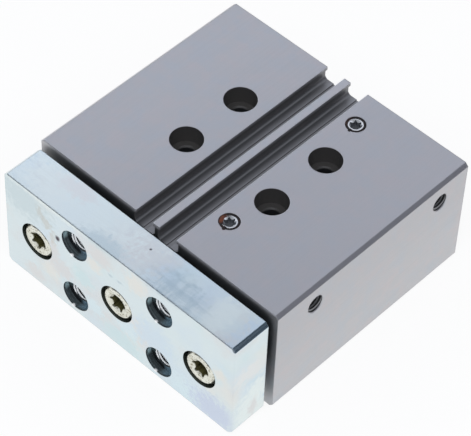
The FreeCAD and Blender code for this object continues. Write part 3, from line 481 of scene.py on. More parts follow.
# %% Oxide skin
ANODISED = (0.520, 0.522, 0.540, 1.0)
ANODISED_ROSE = (0.548, 0.522, 0.535, 1.0)
ANODISED_BLUE = (0.496, 0.522, 0.558, 1.0)
PRESSING_LINES = (3.0, 0.02, 3.0)

tree, shader = new_finish("housing_anodised", 0.85, 0.36)
edges = use_group(tree, soft_edges, radius=0.00035)
speckle = use_group(tree, fine_grain, grain=0.22)["Height"]
skin = ANODISED
for tint, size, seed in ((ANODISED_ROSE, 3.5, 2.0), (ANODISED_BLUE, 4.5, 6.0)):
    mottle = use_group(tree, cloud_patches, size=size, seed=seed)["Cloud"]
    skin = mix_colour(tree, stretch(tree, mottle, 0.42, 0.68, 0.0, 0.9), skin, tint)
pressing = use_group(tree, tool_lines, lines=PRESSING_LINES)["Line"]
skin = mix_colour(tree, stretch(tree, pressing, 0.35, 0.75, 0.0, 0.10), skin, grey(0.30))
print("oxide skin:", len(tree.nodes), "nodes")

# %% Directions and places
FRONT, LEFT, RIGHT, UP = (0.0, -1.0, 0.0), (-1.0, 0.0, 0.0), (1.0, 0.0, 0.0), (0.0, 0.0, 1.0)
CHAMFER = (0.7071, 0.0, 0.7071)


def facing(tree, direction, normal=None):
    """How much a surface, or a given normal, faces a direction, from -1 to 1."""
    normal = normal or add_node(tree, "ShaderNodeNewGeometry").outputs["Normal"]
    return calculate_vector(tree, "DOT_PRODUCT", normal, direction)


def axes_in_mm(tree):
    """Object coordinates in millimetres, as separate X, Y and Z."""
    return add_node(tree, "ShaderNodeSeparateXYZ", {0: place_in_mm(tree)}).outputs


place = axes_in_mm(tree)
beside = calculate(tree, "ABSOLUTE", place["X"])
print("faces told apart by their direction and place")

# %% Painted shade on the top and the right side
ANODISED_SHADED = (0.400, 0.392, 0.415, 1.0)
ANODISED_SHADE_AND_SPECK = (0.080, 0.078, 0.080, 1.0)
TOP_TONE = (-40.0, 20.0)
SLOT_WEB = (1.2, 2.0)
SIDE_TONE = (6.0, 32.0)

# Painted shade: the top is shaded more towards its right end and less on the web between the slots, and the
# right side is shaded more towards its top.
upward = stretch(tree, facing(tree, UP), 0.8, 0.95, 0.0, 1.0)
top_shade_ramp = stretch(tree, place["X"], *TOP_TONE, 0.25, 0.52)
off_web = stretch(tree, beside, *SLOT_WEB, 0.6, 1.0)
skin = mix_colour(tree, product(tree, upward, top_shade_ramp, off_web), skin, ANODISED_SHADED)
rightward = stretch(tree, facing(tree, RIGHT), 0.8, 0.95, 0.0, 1.0)
side_shade_ramp = stretch(tree, place["Z"], *SIDE_TONE, 0.0, 0.28)
skin = mix_colour(tree, product(tree, rightward, side_shade_ramp), skin, ANODISED_SHADED)
specks = use_group(tree, stray_specks, spacing=9.0, size=0.22, share=0.25)["Mask"]
skin = mix_colour(tree, product(tree, specks, 0.5), skin, ANODISED_SHADE_AND_SPECK)
print("skin with its tones and specks:", len(tree.nodes), "nodes")

# %% [markdown]
# ## Holes and slots of the housing
#
# Little light gets into the mounting holes and the sensor slots, and their walls are rough, so they lose
# gloss, and their shade is painted into the colour. Ambient occlusion alone would leave them all evenly
# grey. On the real block the holes are dark right up to their mouths, and darker still below the seat of the
# screw head. In the slots the wall that faces right is lit near its top, and the floor goes from dark to
# grey across its width. That light and shade are painted in too, at places found from the frame and from
# the height on the block.

# %% Painted shade in the recesses and on the right chamfer
ANODISED_CHAMFER_SHADE = (0.36, 0.355, 0.38, 1.0)

# Painted shade: recesses found by ambient occlusion are darkened in colour, and the long chamfer on the
# right gets a painted darker reflection of the room. The same mask makes the metal matt wherever shade or
# light is painted.
open_share = use_group(tree, recess_shade, reach=0.008)["Open"]
painted_matt = stretch(tree, open_share, 0.25, 0.95, 1.0, 0.0)
skin = mix_colour(tree, painted_matt, skin, ANODISED_SHADE_AND_SPECK)
chamfer = stretch(tree, facing(tree, CHAMFER), 0.85, 0.97, 0.0, 1.0)
skin = mix_colour(tree, chamfer, skin, ANODISED_CHAMFER_SHADE)
print("recesses darkened:", len(tree.nodes), "nodes")

# %% Mounting holes
ANODISED_BORE_SHADE = (0.058, 0.056, 0.055, 1.0)
ANODISED_GAP_SHADE = (0.026, 0.028, 0.031, 1.0)
HEAD_BORE = 4.5
HEAD_SEAT = (29.8, 30.4)
X, Y, Z = Vector((1, 0, 0)), Vector((0, 1, 0)), Vector((0, 0, 1))
mounts = {mount["name"]: mount for mount in record["mounts"]}


def hole_centres(mount, across, up):
    """Centres of a four-hole pattern, from its middle and spacings along two directions."""
    middle = Vector(mount["pos_m"])
    across = across * (mount["dims"]["spacing_x_mm"] * MM / 2)
    up = up * (mount["dims"]["spacing_y_mm"] * MM / 2)
    return [middle + across * i + up * j for i in (-1, 1) for j in (-1, 1)]


# Painted shade: the mounting holes are dark right up to their mouths, and darker below the seat of the screw
# head.
bores = 0.0
for centre in hole_centres(mounts["base_holes"], X, Y):
    bore = use_group(tree, round_bore, centre=tuple(centre / MM), across=ALONG_Z, radius=HEAD_BORE)
    bores = largest(tree, bores, bore["Mask"])
below_seat = stretch(tree, place["Z"], *HEAD_SEAT, 1.0, 0.0)
skin = mix_colour(tree, bores, skin, mix_colour(tree, below_seat, ANODISED_BORE_SHADE, ANODISED_GAP_SHADE))
painted_matt = largest(tree, painted_matt, bores)
print("mounting holes", mounts["base_holes"]["dims"]["spacing_x_mm"], "mm apart darkened")

# %% Painted light and shade on the slot walls
ANODISED_WALL_LIT = (0.20, 0.20, 0.21, 1.0)
SLOT_REAR = (26.0, 36.0)
SLOT_WALL = (34.4, 36.2)

slot_centre = mounts["sensor_slot_right"]["pos_m"][0] / MM
in_slots = calculate(tree, "LESS_THAN", beside, 2 * slot_centre)
rear_end = stretch(tree, place["Y"], *SLOT_REAR, 1.0, 0.55)
sunk = stretch(tree, open_share, 0.80, 0.95, 1.0, 0.0)
rightward = stretch(tree, facing(tree, RIGHT), 0.22, 0.45, 0.0, 1.0)
# Painted light and shade: the wall that faces right is dark low down and lit near its top, less so towards
# the rear end of the slot.
slot_wall = product(tree, sunk, rightward, rear_end, in_slots)
wall_light_and_shade = mix_colour(tree, stretch(tree, place["Z"], *SLOT_WALL, 0.0, 1.0), ANODISED_SHADE_AND_SPECK, ANODISED_WALL_LIT)
skin = mix_colour(tree, slot_wall, skin, wall_light_and_shade)
painted_matt = largest(tree, painted_matt, slot_wall)
print("slots", round(slot_centre, 2), "mm to each side of the middle")

# %% Painted light and shade on the slot floors
ANODISED_FLOOR_SHADE = (0.050, 0.051, 0.055, 1.0)
ANODISED_FLOOR_LIT = (0.215, 0.218, 0.235, 1.0)
SLOT_LOW = 33.0
LIT_ACROSS = (-2.7, 0.2)
SLOT_CORNER = -2.85
CORNER_WIDTH = (0.10, 0.28)

# Painted light and shade: each floor runs from shade on its left to light on its right, with a thin painted
# highlight along its corner on the left.
own_centre = product(tree, calculate(tree, "SIGN", place["X"]), slot_centre)
across = calculate(tree, "SUBTRACT", place["X"], own_centre)
lit = stretch(tree, across, *LIT_ACROSS, 0.0, 1.0)
floor_light_and_shade = mix_colour(tree, lit, ANODISED_FLOOR_SHADE, ANODISED_FLOOR_LIT)
corner = calculate(tree, "ABSOLUTE", calculate(tree, "SUBTRACT", across, SLOT_CORNER))
corner = stretch(tree, corner, *CORNER_WIDTH, 0.30, 0.0)
floor_light_and_shade = mix_colour(tree, corner, floor_light_and_shade, ANODISED_FLOOR_LIT)
upward = stretch(tree, facing(tree, UP), 0.2, 0.6, 0.0, 1.0)
low = calculate(tree, "LESS_THAN", place["Z"], SLOT_LOW)
slot_floor = product(tree, upward, low, in_slots, rear_end)
skin = mix_colour(tree, slot_floor, skin, floor_light_and_shade)
painted_matt = largest(tree, painted_matt, slot_floor)
print("slot floors shaded:", len(tree.nodes), "nodes")

# %% [markdown]
# ## Edges, ports and gap of the housing
#
# Edges catch the light as thin lines, most of all the lips of the slots, and these highlights are painted
# into the colour. Their places could be drawn on, but soft_edges already knows where each edge is. The
# mounting holes, the long chamfer and the bottoms of the slots get no painted highlight. The ports get a
# painted shade. Behind the yoke plate the front face lies in a narrow gap of painted shade, with a lighter
# painted rim along its top. The gap's shade comes from gap_shade, so it opens and lightens as the yoke
# slides out.

# %% Painted highlights on the edges and lips
ANODISED_EDGE_HIGHLIGHT = (0.78, 0.79, 0.82, 1.0)
ANODISED_LIP_HIGHLIGHT = (0.90, 0.93, 0.96, 1.0)
SLOT_TOP = 35.5
RIGHT_RIM = 39.5

# Painted highlights: edges are lightened, most of all the slot lips that face left, but not in the bores, by
# the long chamfer or low in the slots.
by_chamfer = calculate(tree, "GREATER_THAN", place["X"], RIGHT_RIM)
low_down = product(tree, in_slots, calculate(tree, "LESS_THAN", place["Z"], SLOT_TOP))
plain = largest(tree, bores, by_chamfer, low_down)
edge_highlight = product(tree, edges["Edge"], calculate(tree, "SUBTRACT", 1.0, plain))
skin = mix_colour(tree, product(tree, edge_highlight, 0.6), skin, ANODISED_EDGE_HIGHLIGHT)
painted_matt = product(tree, painted_matt, stretch(tree, edge_highlight, 0.0, 1.0, 1.0, 0.3))
lip_highlight = product(tree, stretch(tree, facing(tree, LEFT, edges["Normal"]), 0.10, 0.40, 0.0, 1.0), edge_highlight)
skin = mix_colour(tree, lip_highlight, skin, ANODISED_LIP_HIGHLIGHT)
painted_matt = largest(tree, painted_matt, lip_highlight)
print("edges and lips lightened:", len(tree.nodes), "nodes")

# %% Air ports
ANODISED_PORT_SHADE = (0.032, 0.032, 0.033, 1.0)
PORTS = ("air_port_front", "air_port_rear")
PORT_MOUTH = 2.56
PORT_FLOOR = 30.0

# Painted shade: the mouths of the air ports are dark inside.
near_side = calculate(tree, "GREATER_THAN", place["X"], PORT_FLOOR)
for name in PORTS:
    axis = tuple(Vector(mounts[name]["pos_m"]) / MM)
    bore = use_group(tree, round_bore, centre=axis, across=ALONG_X, radius=PORT_MOUTH)["Mask"]
    bore = product(tree, bore, near_side)
    skin = mix_colour(tree, bore, skin, ANODISED_PORT_SHADE)
    painted_matt = largest(tree, painted_matt, bore)
print("ports darkened:", ", ".join(PORTS))

# %% Painted shade in the gap behind the yoke plate
ANODISED_RIM_HALF_SHADE = (0.32, 0.32, 0.34, 1.0)
FRONT_FACE = -35.5
GAP_HEIGHT = (0.0, 24.0)
GAP_TOP = (34.65, 35.5)
GAP_RIM = (35.05, 35.45)

# Painted shade: the front face behind the yoke plate is darkened where gap_shade finds the plate near, more
# so higher up, and a painted half-shade lies along its top that stays when the yoke slides out.
near_plate = stretch(tree, use_group(tree, gap_shade, reach=0.010)["Open"], 0.32, 0.90, 1.0, 0.0)
front = stretch(tree, facing(tree, FRONT), 0.5, 0.9, 0.0, 1.0)
front = product(tree, front, calculate(tree, "LESS_THAN", place["Y"], FRONT_FACE))
up_gap = stretch(tree, place["Z"], *GAP_HEIGHT, 0.25, 1.0)
under_rim = stretch(tree, place["Z"], *GAP_TOP, 1.0, 0.0)
gap = product(tree, near_plate, front, up_gap, under_rim)
skin = mix_colour(tree, gap, skin, ANODISED_GAP_SHADE)
rim_half_shade = product(tree, front, stretch(tree, place["Z"], *GAP_RIM, 0.0, 0.85))
skin = mix_colour(tree, rim_half_shade, skin, ANODISED_RIM_HALF_SHADE)
painted_matt = largest(tree, painted_matt, gap, rim_half_shade)
print("gap shaded:", len(tree.nodes), "nodes")

# %% Gloss and relief of the housing
tree.links.new(skin, shader.inputs["Base Color"])
tree.links.new(stretch(tree, painted_matt, 0.0, 1.0, 0.85, 0.15), shader.inputs["Metallic"])
tree.links.new(stretch(tree, speckle, 0.3, 0.7, 0.30, 0.38), shader.inputs["Roughness"])
flat = add_node(tree, "ShaderNodeNewGeometry").outputs["Normal"]
crisp_bores = {0: bores, 4: edges["Normal"], 5: flat}
normal = add_node(tree, "ShaderNodeMix", crisp_bores, data_type="VECTOR").outputs[1]
add_bump(tree, shader, speckle, normal, 0.012)
print("housing_anodised:", len(tree.nodes), "nodes")

# %% [markdown]
# ## Zinc-plated yoke plate
#
# The plate is milled steel, bright zinc plated and passivated. That thin clear film gives the plate its
# pastel patches of cream, rose, pale blue and lilac, as on an oil film. They could be computed from a film
# thickness, but large soft clouds and a few placed spots that mix pale tints are easier to steer.

# %% Passivation film
ZINC = (0.69, 0.78, 0.805, 1.0)
ZINC_CYAN = (0.61, 0.76, 0.79, 1.0)
ZINC_CREAM = (0.77, 0.765, 0.725, 1.0)
ZINC_ROSE = (0.70, 0.70, 0.70, 1.0)
ZINC_BLUE = (0.62, 0.735, 0.83, 1.0)

tree, shader = new_finish("yoke_zinc", 1.0, 0.24)
shader.inputs["Specular IOR Level"].default_value = 0.25
edges = use_group(tree, soft_edges, radius=0.00025)
film = ZINC
for tint, size, seed in (
    (ZINC_CYAN, 16.0, 1.0),
    (ZINC_CREAM, 13.0, 5.0),
    (ZINC_ROSE, 11.0, 9.0),
    (ZINC_BLUE, 18.0, 3.0),
):
    patch = use_group(tree, cloud_patches, size=size, seed=seed)["Cloud"]
    film = mix_colour(tree, stretch(tree, patch, 0.50, 0.70, 0.0, 0.7), film, tint)
print("passivation film:", len(tree.nodes), "nodes")

# %% Placed patches
ZINC_DIM = (0.58, 0.68, 0.715, 1.0)
ZINC_SKY = (0.67, 0.80, 0.85, 1.0)
ZINC_LILAC = (0.57, 0.635, 0.78, 1.0)
ZINC_BLUSH = (0.76, 0.775, 0.77, 1.0)
ZINC_PALE = (0.775, 0.850, 0.840, 1.0)

for tint, centre, size in (
    (ZINC_DIM, (-33.0, -50.0, 30.0), (14.0, 2.0, 9.0)),
    (ZINC_ROSE, (-6.0, -50.0, 30.0), (6.0, 2.0, 4.5)),
    (ZINC_CREAM, (-8.0, -50.0, 25.5), (4.0, 2.0, 3.0)),
    (ZINC_CREAM, (-24.0, -50.0, 10.5), (5.0, 2.0, 5.0)),
    (ZINC_ROSE, (-30.0, -50.0, 4.0), (5.0, 2.0, 4.0)),
    (ZINC_SKY, (-8.0, -50.0, 9.0), (5.0, 2.0, 4.0)),
    (ZINC_SKY, (4.5, -50.0, 10.5), (6.0, 2.0, 5.0)),
    (ZINC_CREAM, (7.0, -50.0, 30.5), (5.0, 2.0, 5.0)),
    (ZINC_ROSE, (-20.0, -50.0, 14.0), (7.0, 2.0, 5.0)),
    (ZINC_ROSE, (-22.8, -50.0, 19.0), (3.0, 2.0, 5.0)),
    (ZINC_CYAN, (-12.0, -50.0, 17.0), (5.0, 2.0, 5.0)),
    (ZINC_CYAN, (2.0, -50.0, 4.0), (10.0, 2.0, 6.0)),
    (ZINC_BLUE, (13.0, -50.0, 15.0), (10.0, 2.0, 8.0)),
    (ZINC_SKY, (25.0, -50.0, 5.0), (9.0, 2.0, 6.0)),
    (ZINC_LILAC, (34.0, -50.0, 5.0), (11.0, 2.0, 8.0)),
    (ZINC_CREAM, (36.0, -50.0, 21.0), (3.0, 2.0, 3.0)),
    (ZINC_BLUSH, (40.5, -43.0, 21.0), (2.0, 9.0, 5.0)),
    (ZINC_CREAM, (-28.0, -44.0, 34.8), (9.0, 8.0, 2.0)),
    (ZINC_ROSE, (0.5, -43.5, 34.8), (14.0, 10.0, 2.0)),
    (ZINC_PALE, (-20.0, -44.0, 34.8), (34.0, 20.0, 2.0)),
    (ZINC_PALE, (30.5, -44.0, 34.8), (6.0, 9.0, 2.0)),
    (ZINC_BLUE, (41.0, -44.0, 34.8), (6.0, 12.0, 2.0)),
    (ZINC_DIM, (-5.5, -49.0, 34.8), (10.0, 4.0, 2.0)),
    (ZINC_BLUSH, (-23.0, -40.5, 34.8), (8.0, 4.0, 2.0)),
    (ZINC_PALE, (40.5, -43.0, 6.0), (2.0, 9.0, 10.0)),
    (ZINC_PALE, (40.5, -41.0, 12.0), (2.0, 5.0, 6.0)),
    (ZINC_ROSE, (40.5, -42.4, 5.5), (2.0, 2.2, 5.0)),
):
    spot = use_group(tree, soft_spot, centre=centre, size=size, ragged=0.35)["Mask"]
    film = mix_colour(tree, product(tree, spot, 0.85), film, tint)
print("patches placed:", len(tree.nodes), "nodes")

# %% Stains and small marks
ZINC_STAIN = (0.56, 0.52, 0.45, 1.0)
ZINC_STROKE = (0.40, 0.51, 0.58, 1.0)
ZINC_PIT = (0.05, 0.03, 0.045, 1.0)

for tint, centre, size, share in (
    (ZINC_STAIN, (-27.6, -50.0, 30.0), (1.6, 2.0, 3.0), 0.40),
    (ZINC_STAIN, (-25.2, -50.0, 27.4), (2.0, 2.0, 3.0), 0.45),
    (ZINC_STAIN, (-22.9, -50.0, 23.6), (1.8, 2.0, 4.0), 0.42),
    (ZINC_STROKE, (-2.2, -50.0, 26.6), (1.3, 2.0, 0.7), 0.45),
    (ZINC_STROKE, (1.3, -50.0, 26.6), (1.5, 2.0, 0.7), 0.45),
    (ZINC_PIT, (3.9, -41.8, 34.8), (0.45, 0.45, 2.0), 0.9),
):
    spot = use_group(tree, soft_spot, centre=centre, size=size, ragged=0.5)["Mask"]
    film = mix_colour(tree, product(tree, spot, share), film, tint)
print("stains and marks placed:", len(tree.nodes), "nodes")

# %% [markdown]
# ## Tool marks of the yoke plate
#
# Fine milling lines lie along the plate, crossed strokes show where its top was wiped, a few specks lie
# about, and the chamfer on the right shows the lines of the wheel that ground it. Lines cut into the mesh
# would be too fine to see, so they only change the tint, the gloss and the normal.

# %% Milling and wiping
MILLING_LINES = (0.04, 5.0, 5.0)
WIPED_PLACE, WIPED_SIZE = (17.5, -46.8, 34.8), (13.0, 7.5, 2.0)
WIPING_LINES = ((0.42, 0.06, 1.0), (0.07, 0.55, 1.0))

milling = use_group(tree, tool_lines, lines=MILLING_LINES)["Line"]
film = mix_colour(tree, stretch(tree, milling, 0.40, 0.70, 0.0, 0.05), film, ZINC_STROKE)
wiped = use_group(tree, soft_spot, centre=WIPED_PLACE, size=WIPED_SIZE, ragged=0.3)["Mask"]
film = mix_colour(tree, product(tree, wiped, 0.14), film, ZINC_STROKE)
for lines in WIPING_LINES:
    stroke = use_group(tree, tool_lines, lines=lines)["Line"]
    stroke = product(tree, wiped, stretch(tree, stroke, 0.42, 0.64, 0.0, 0.42))
    film = mix_colour(tree, stroke, film, ZINC_STROKE)
specks = use_group(tree, stray_specks, spacing=7.0, size=0.2, share=0.3)["Mask"]
film = mix_colour(tree, product(tree, specks, 0.35), film, ZINC_STROKE)
print("milled and wiped:", len(tree.nodes), "nodes")

# %% Ground chamfer
ZINC_GROUND_SHADE = (0.17, 0.25, 0.31, 1.0)
ZINC_GROUND_LINE = (0.46, 0.57, 0.63, 1.0)
GRINDING_LINES = (4.0, 0.03, 4.0)

# The grinding lines are real. The dark tint of the chamfer is also a painted shade, standing in for the dark
# room that it mirrors.
ground = use_group(tree, tool_lines, lines=GRINDING_LINES)["Line"]
ground = mix_colour(tree, stretch(tree, ground, 0.40, 0.65, 0.0, 1.0), ZINC_GROUND_SHADE, ZINC_GROUND_LINE)
film = mix_colour(tree, stretch(tree, facing(tree, CHAMFER), 0.90, 0.97, 0.0, 1.0), film, ground)
print("chamfer ground:", len(tree.nodes), "nodes")

# %% [markdown]
# ## Holes of the yoke plate
#
# Three counterbores hold the screw heads, and four recesses take locating sleeves, each with a thread
# behind it. On the real plate the counterbores are nearly black. The recesses are dark too, with faint
# rings from the boring tool, and their walls catch teal light on the upper left and slate on the lower
# right. The first turn of each thread shines, and so does one spot of each rim. This shade, light and
# shine are painted into the colour, set by depth and by side, as a plain dark tint would flatten them.

# %% Screw counterbores
ZINC_DEEP_SHADE = (0.040, 0.050, 0.055, 1.0)
ZINC_SHADOW = (0.028, 0.034, 0.028, 1.0)
SCREWS = ("rod_screw", "guide_screw_left", "guide_screw_right")
SCREW_BORE = 5.5


def piece_middle(name):
    """Middle of a CAD node's box, in millimetres."""
    return sum(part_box(name), Vector()) / 2 / MM


# Painted shade: recesses found by ambient occlusion are darkened, and the screw counterbores get a painted
# shadow, nearly black.
open_share = use_group(tree, recess_shade, reach=0.005)["Open"]
painted_matt = stretch(tree, open_share, 0.35, 0.80, 1.0, 0.0)
film = mix_colour(tree, painted_matt, film, ZINC_DEEP_SHADE)
for name in SCREWS:
    bore = use_group(tree, round_bore, centre=tuple(piece_middle(name)), radius=SCREW_BORE)["Mask"]
    film = mix_colour(tree, bore, film, ZINC_SHADOW)
    painted_matt = largest(tree, painted_matt, bore)
print("counterbores darkened:", len(tree.nodes), "nodes")

# %% Boring rings and depths of the recesses
ZINC_RING = (0.11, 0.14, 0.15, 1.0)
BORING_LINES = (0.02, 3.0, 0.02)
RECESS_WALL = (-49.8, -49.0)
RECESS_FLOOR = (-48.15, -47.98)
FIRST_TURN = (-47.75, -47.6)

depth = axes_in_mm(tree)["Y"]
boring = use_group(tree, tool_lines, lines=BORING_LINES)["Line"]
boring = mix_colour(tree, stretch(tree, boring, 0.45, 0.65, 0.0, 0.8), ZINC_DEEP_SHADE, ZINC_RING)
blotch = stretch(tree, use_group(tree, fine_grain, grain=0.5)["Height"], 0.35, 0.60, 1.0, 0.6)
on_wall = stretch(tree, depth, *RECESS_WALL, 0.0, 1.0)
on_floor = stretch(tree, depth, *RECESS_FLOOR, 0.0, 0.9)
first_turn = stretch(tree, depth, *FIRST_TURN, 1.0, 0.0)
print("recess depths:", len(tree.nodes), "nodes")

# %% Locating recesses and thread mouths
ZINC_TEAL_LIGHT = (0.58, 0.80, 0.83, 1.0)
ZINC_SLATE_LIGHT = (0.20, 0.31, 0.38, 1.0)
ZINC_FLOOR_SHADOW = (0.008, 0.010, 0.012, 1.0)
ZINC_BRIGHT_HIGHLIGHT = (0.96, 0.98, 0.98, 1.0)
SLEEVE_BORE, THREAD_MOUTH = 4.52, 3.02
GLINT_OFFSET, GLINT_SIZE = Vector((-1.05, -2.1, -4.45)), (0.75, 0.7, 0.6)

# Painted light and shade: teal light on the upper left of each recess wall, slate light on the lower right,
# a black painted shadow on the floor, a dark painted thread mouth, a painted shine on the first turn and a
# painted white glint on the rim.
for centre in hole_centres(mounts["yoke_holes"], X, Z):
    middle = centre / MM
    bore = use_group(tree, round_bore, centre=tuple(middle), radius=SLEEVE_BORE)
    upper_left = product(tree, on_wall, stretch(tree, bore["Toward"], 0.62, 0.92, 0.0, 1.0))
    lower_right = product(tree, on_wall, stretch(tree, bore["Toward"], -0.40, -0.80, 0.0, 1.0), blotch)
    inside = mix_colour(tree, upper_left, boring, ZINC_TEAL_LIGHT)
    inside = mix_colour(tree, on_floor, inside, ZINC_FLOOR_SHADOW)
    inside = mix_colour(tree, lower_right, inside, ZINC_SLATE_LIGHT)
    film = mix_colour(tree, bore["Mask"], film, inside)
    painted_matt = largest(tree, painted_matt, bore["Mask"])
    thread = use_group(tree, round_bore, centre=tuple(middle), radius=THREAD_MOUTH)["Mask"]
    film = mix_colour(tree, thread, film, ZINC_DEEP_SHADE)
    painted_shine = product(tree, thread, first_turn, stretch(tree, bore["Toward"], 0.0, 0.45, 0.0, 1.0))
    film = mix_colour(tree, painted_shine, film, ZINC_BRIGHT_HIGHLIGHT)
    glint = use_group(tree, soft_spot, centre=tuple(middle + GLINT_OFFSET), size=GLINT_SIZE, ragged=0.1)
    film = mix_colour(tree, glint["Mask"], film, grey(1.0))
print("locating recesses:", len(tree.nodes), "nodes")

# %% Pit, gloss and relief of the plate
PIT_PLACE, PIT_SIZE = (-21.1, -50.0, 24.8), (1.1, 1.0, 1.3)
PIT_SINK = 60.0

pit = use_group(tree, soft_spot, centre=PIT_PLACE, size=PIT_SIZE, ragged=0.1)["Mask"]
film = mix_colour(tree, pit, film, ZINC_PIT)
tree.links.new(film, shader.inputs["Base Color"])
tree.links.new(stretch(tree, painted_matt, 0.0, 1.0, 1.0, 0.25), shader.inputs["Metallic"])
tree.links.new(stretch(tree, milling, 0.3, 0.7, 0.22, 0.26), shader.inputs["Roughness"])
relief = calculate(tree, "SUBTRACT", milling, product(tree, pit, PIT_SINK))
add_bump(tree, shader, relief, edges["Normal"], 0.003)
print("yoke_zinc:", len(tree.nodes), "nodes")

# %% [markdown]
# ## Screws, plugs, rods and bearings
#
# These are all turned or ground steel, or bronze, and differ in tint, gloss and marks. Each could have its
# own material, but one function builds most of them from a base tint, a darker tint painted into recesses
# as shade, and the kind of mark that their machine leaves. Ground pieces have fine lines round them and
# turning rings on their ends. The heads of the yoke screws are seen close up, so they have a finish of their
# own: cream-coloured plating with buff patches and small specks, and painted shade in the star.

# %% Metal with machine marks
ROUND_LINES = (0.3, 9.0, 0.3)
END_TINT = (0.56, 0.56, 0.57, 1.0)
END_DARK = (0.38, 0.38, 0.39, 1.0)
ROD_SPACING = abs(piece_middle("guide_screw_right").x)


def metal_finish(slot, tint, patch_tint, shade_tint, roughness, lines):
    """A plated, ground or turned metal with machine lines, faint patches and painted shade in its recesses.
    """
    tree, shader = new_finish(slot, 1.0, roughness)
    edges = use_group(tree, soft_edges, radius=0.00012)
    mark = use_group(tree, tool_lines, lines=lines)["Line"]
    patch = use_group(tree, cloud_patches, size=3.0, seed=4.0)["Cloud"]
    skin = mix_colour(tree, stretch(tree, patch, 0.40, 0.65, 0.0, 0.8), (*tint, 1.0), (*patch_tint, 1.0))
    # Painted shade: recesses found by ambient occlusion take the darker tint.
    recess = stretch(tree, use_group(tree, recess_shade, reach=0.003)["Open"], 0.40, 0.95, 1.0, 0.0)
    skin = mix_colour(tree, recess, skin, (*shade_tint, 1.0))
    if lines == ROUND_LINES:
        rings = use_group(tree, turned_rings, pitch=0.25, spacing=ROD_SPACING)["Ring"]
        turned = mix_colour(tree, stretch(tree, rings, 0.35, 0.65, 0.0, 1.0), END_TINT, END_DARK)
        endways = calculate(tree, "ABSOLUTE", facing(tree, FRONT))
        skin = mix_colour(tree, stretch(tree, endways, 0.5, 0.9, 0.0, 1.0), skin, turned)
    tree.links.new(skin, shader.inputs["Base Color"])
    tree.links.new(calculate(tree, "SUBTRACT", 1.0, product(tree, recess, 0.6)), shader.inputs["Metallic"])
    gloss = stretch(tree, mark, 0.3, 0.7, roughness * 0.85, roughness * 1.15)
    tree.links.new(gloss, shader.inputs["Roughness"])
    add_bump(tree, shader, mark, edges["Normal"], 0.003)
    print(slot + ":", len(tree.nodes), "nodes")


print("guide rods", round(ROD_SPACING, 2), "mm to each side of the piston rod")

# %% Plugs, rods, bearings, clips and bush
CAST_SPECKLE = (4.0, 4.0, 4.0)
DOWN_LINES = (3.0, 3.0, 0.3)

for values in (
    ("plug_steel", (0.73, 0.74, 0.75), (0.80, 0.80, 0.79), (0.12, 0.13, 0.145), 0.22, DOWN_LINES),
    ("rod_chrome", (0.78, 0.79, 0.81), (0.75, 0.77, 0.80), (0.10, 0.10, 0.11), 0.10, ROUND_LINES),
    ("bearing_steel", (0.60, 0.60, 0.62), (0.55, 0.56, 0.58), (0.10, 0.10, 0.10), 0.22, ROUND_LINES),
    ("clip_steel", (0.09, 0.09, 0.10), (0.13, 0.12, 0.12), (0.02, 0.02, 0.02), 0.45, CAST_SPECKLE),
    ("bush_bronze", (0.52, 0.36, 0.19), (0.45, 0.30, 0.15), (0.08, 0.05, 0.03), 0.45, CAST_SPECKLE),
):
    metal_finish(*values)

# %% Screw heads
SCREW_CREAM = (0.78, 0.79, 0.71, 1.0)
SCREW_BUFF = (0.60, 0.59, 0.48, 1.0)
SCREW_SPECK = (0.20, 0.17, 0.10, 1.0)
SCREW_DEEP_SHADE = (0.095, 0.088, 0.036, 1.0)
STAR_REACH = 2.9
STAR_DEPTH = (0.30, 0.55)

tree, shader = new_finish("screw_zinc", 1.0, 0.28)
shader.inputs["Specular IOR Level"].default_value = 0.10
edges = use_group(tree, soft_edges, radius=0.00015)
patch = use_group(tree, cloud_patches, size=1.6, seed=4.0)["Cloud"]
speckle = use_group(tree, fine_grain, grain=0.6)["Height"]
skin = mix_colour(tree, stretch(tree, patch, 0.42, 0.66, 0.0, 0.6), SCREW_CREAM, SCREW_BUFF)
skin = mix_colour(tree, stretch(tree, speckle, 0.52, 0.68, 0.0, 0.85), skin, SCREW_SPECK)
# Painted shade: the recesses and the floor of each star recess are darkened in colour and made less
# metallic.
recess = stretch(tree, use_group(tree, recess_shade, reach=0.003)["Open"], 0.50, 0.95, 1.0, 0.0)
head_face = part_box("rod_screw")[0].y / MM
depth = calculate(tree, "SUBTRACT", axes_in_mm(tree)["Y"], head_face)
depth = stretch(tree, depth, *STAR_DEPTH, 0.0, 1.0)
for name in SCREWS:
    star = use_group(tree, round_bore, centre=tuple(piece_middle(name)), radius=STAR_REACH)["Mask"]
    recess = largest(tree, recess, product(tree, star, depth))
skin = mix_colour(tree, recess, skin, SCREW_DEEP_SHADE)
tree.links.new(skin, shader.inputs["Base Color"])
tree.links.new(calculate(tree, "SUBTRACT", 1.0, product(tree, recess, 0.7)), shader.inputs["Metallic"])
tree.links.new(stretch(tree, speckle, 0.3, 0.7, 0.24, 0.34), shader.inputs["Roughness"])
add_bump(tree, shader, speckle, edges["Normal"], 0.004)
print("screw_zinc:", len(tree.nodes), "nodes")

# %% [markdown]
# ## Turned aluminium
#
# The end caps and the piston are turned on a lathe, which leaves fine rings round their middle. Rings cut in
# the mesh would be far too fine to see, so they only change the tint, the gloss and the normal. The caps are
# anodised in their natural colour and the piston is bare, so the two differ in tint.

# %% Caps and piston
ALUMINIUM_DEEP_SHADE = (0.05, 0.05, 0.055, 1.0)


def dimmed(tint, share):
    """A darker shade of a colour."""
    return (tint[0] * share, tint[1] * share, tint[2] * share, 1.0)


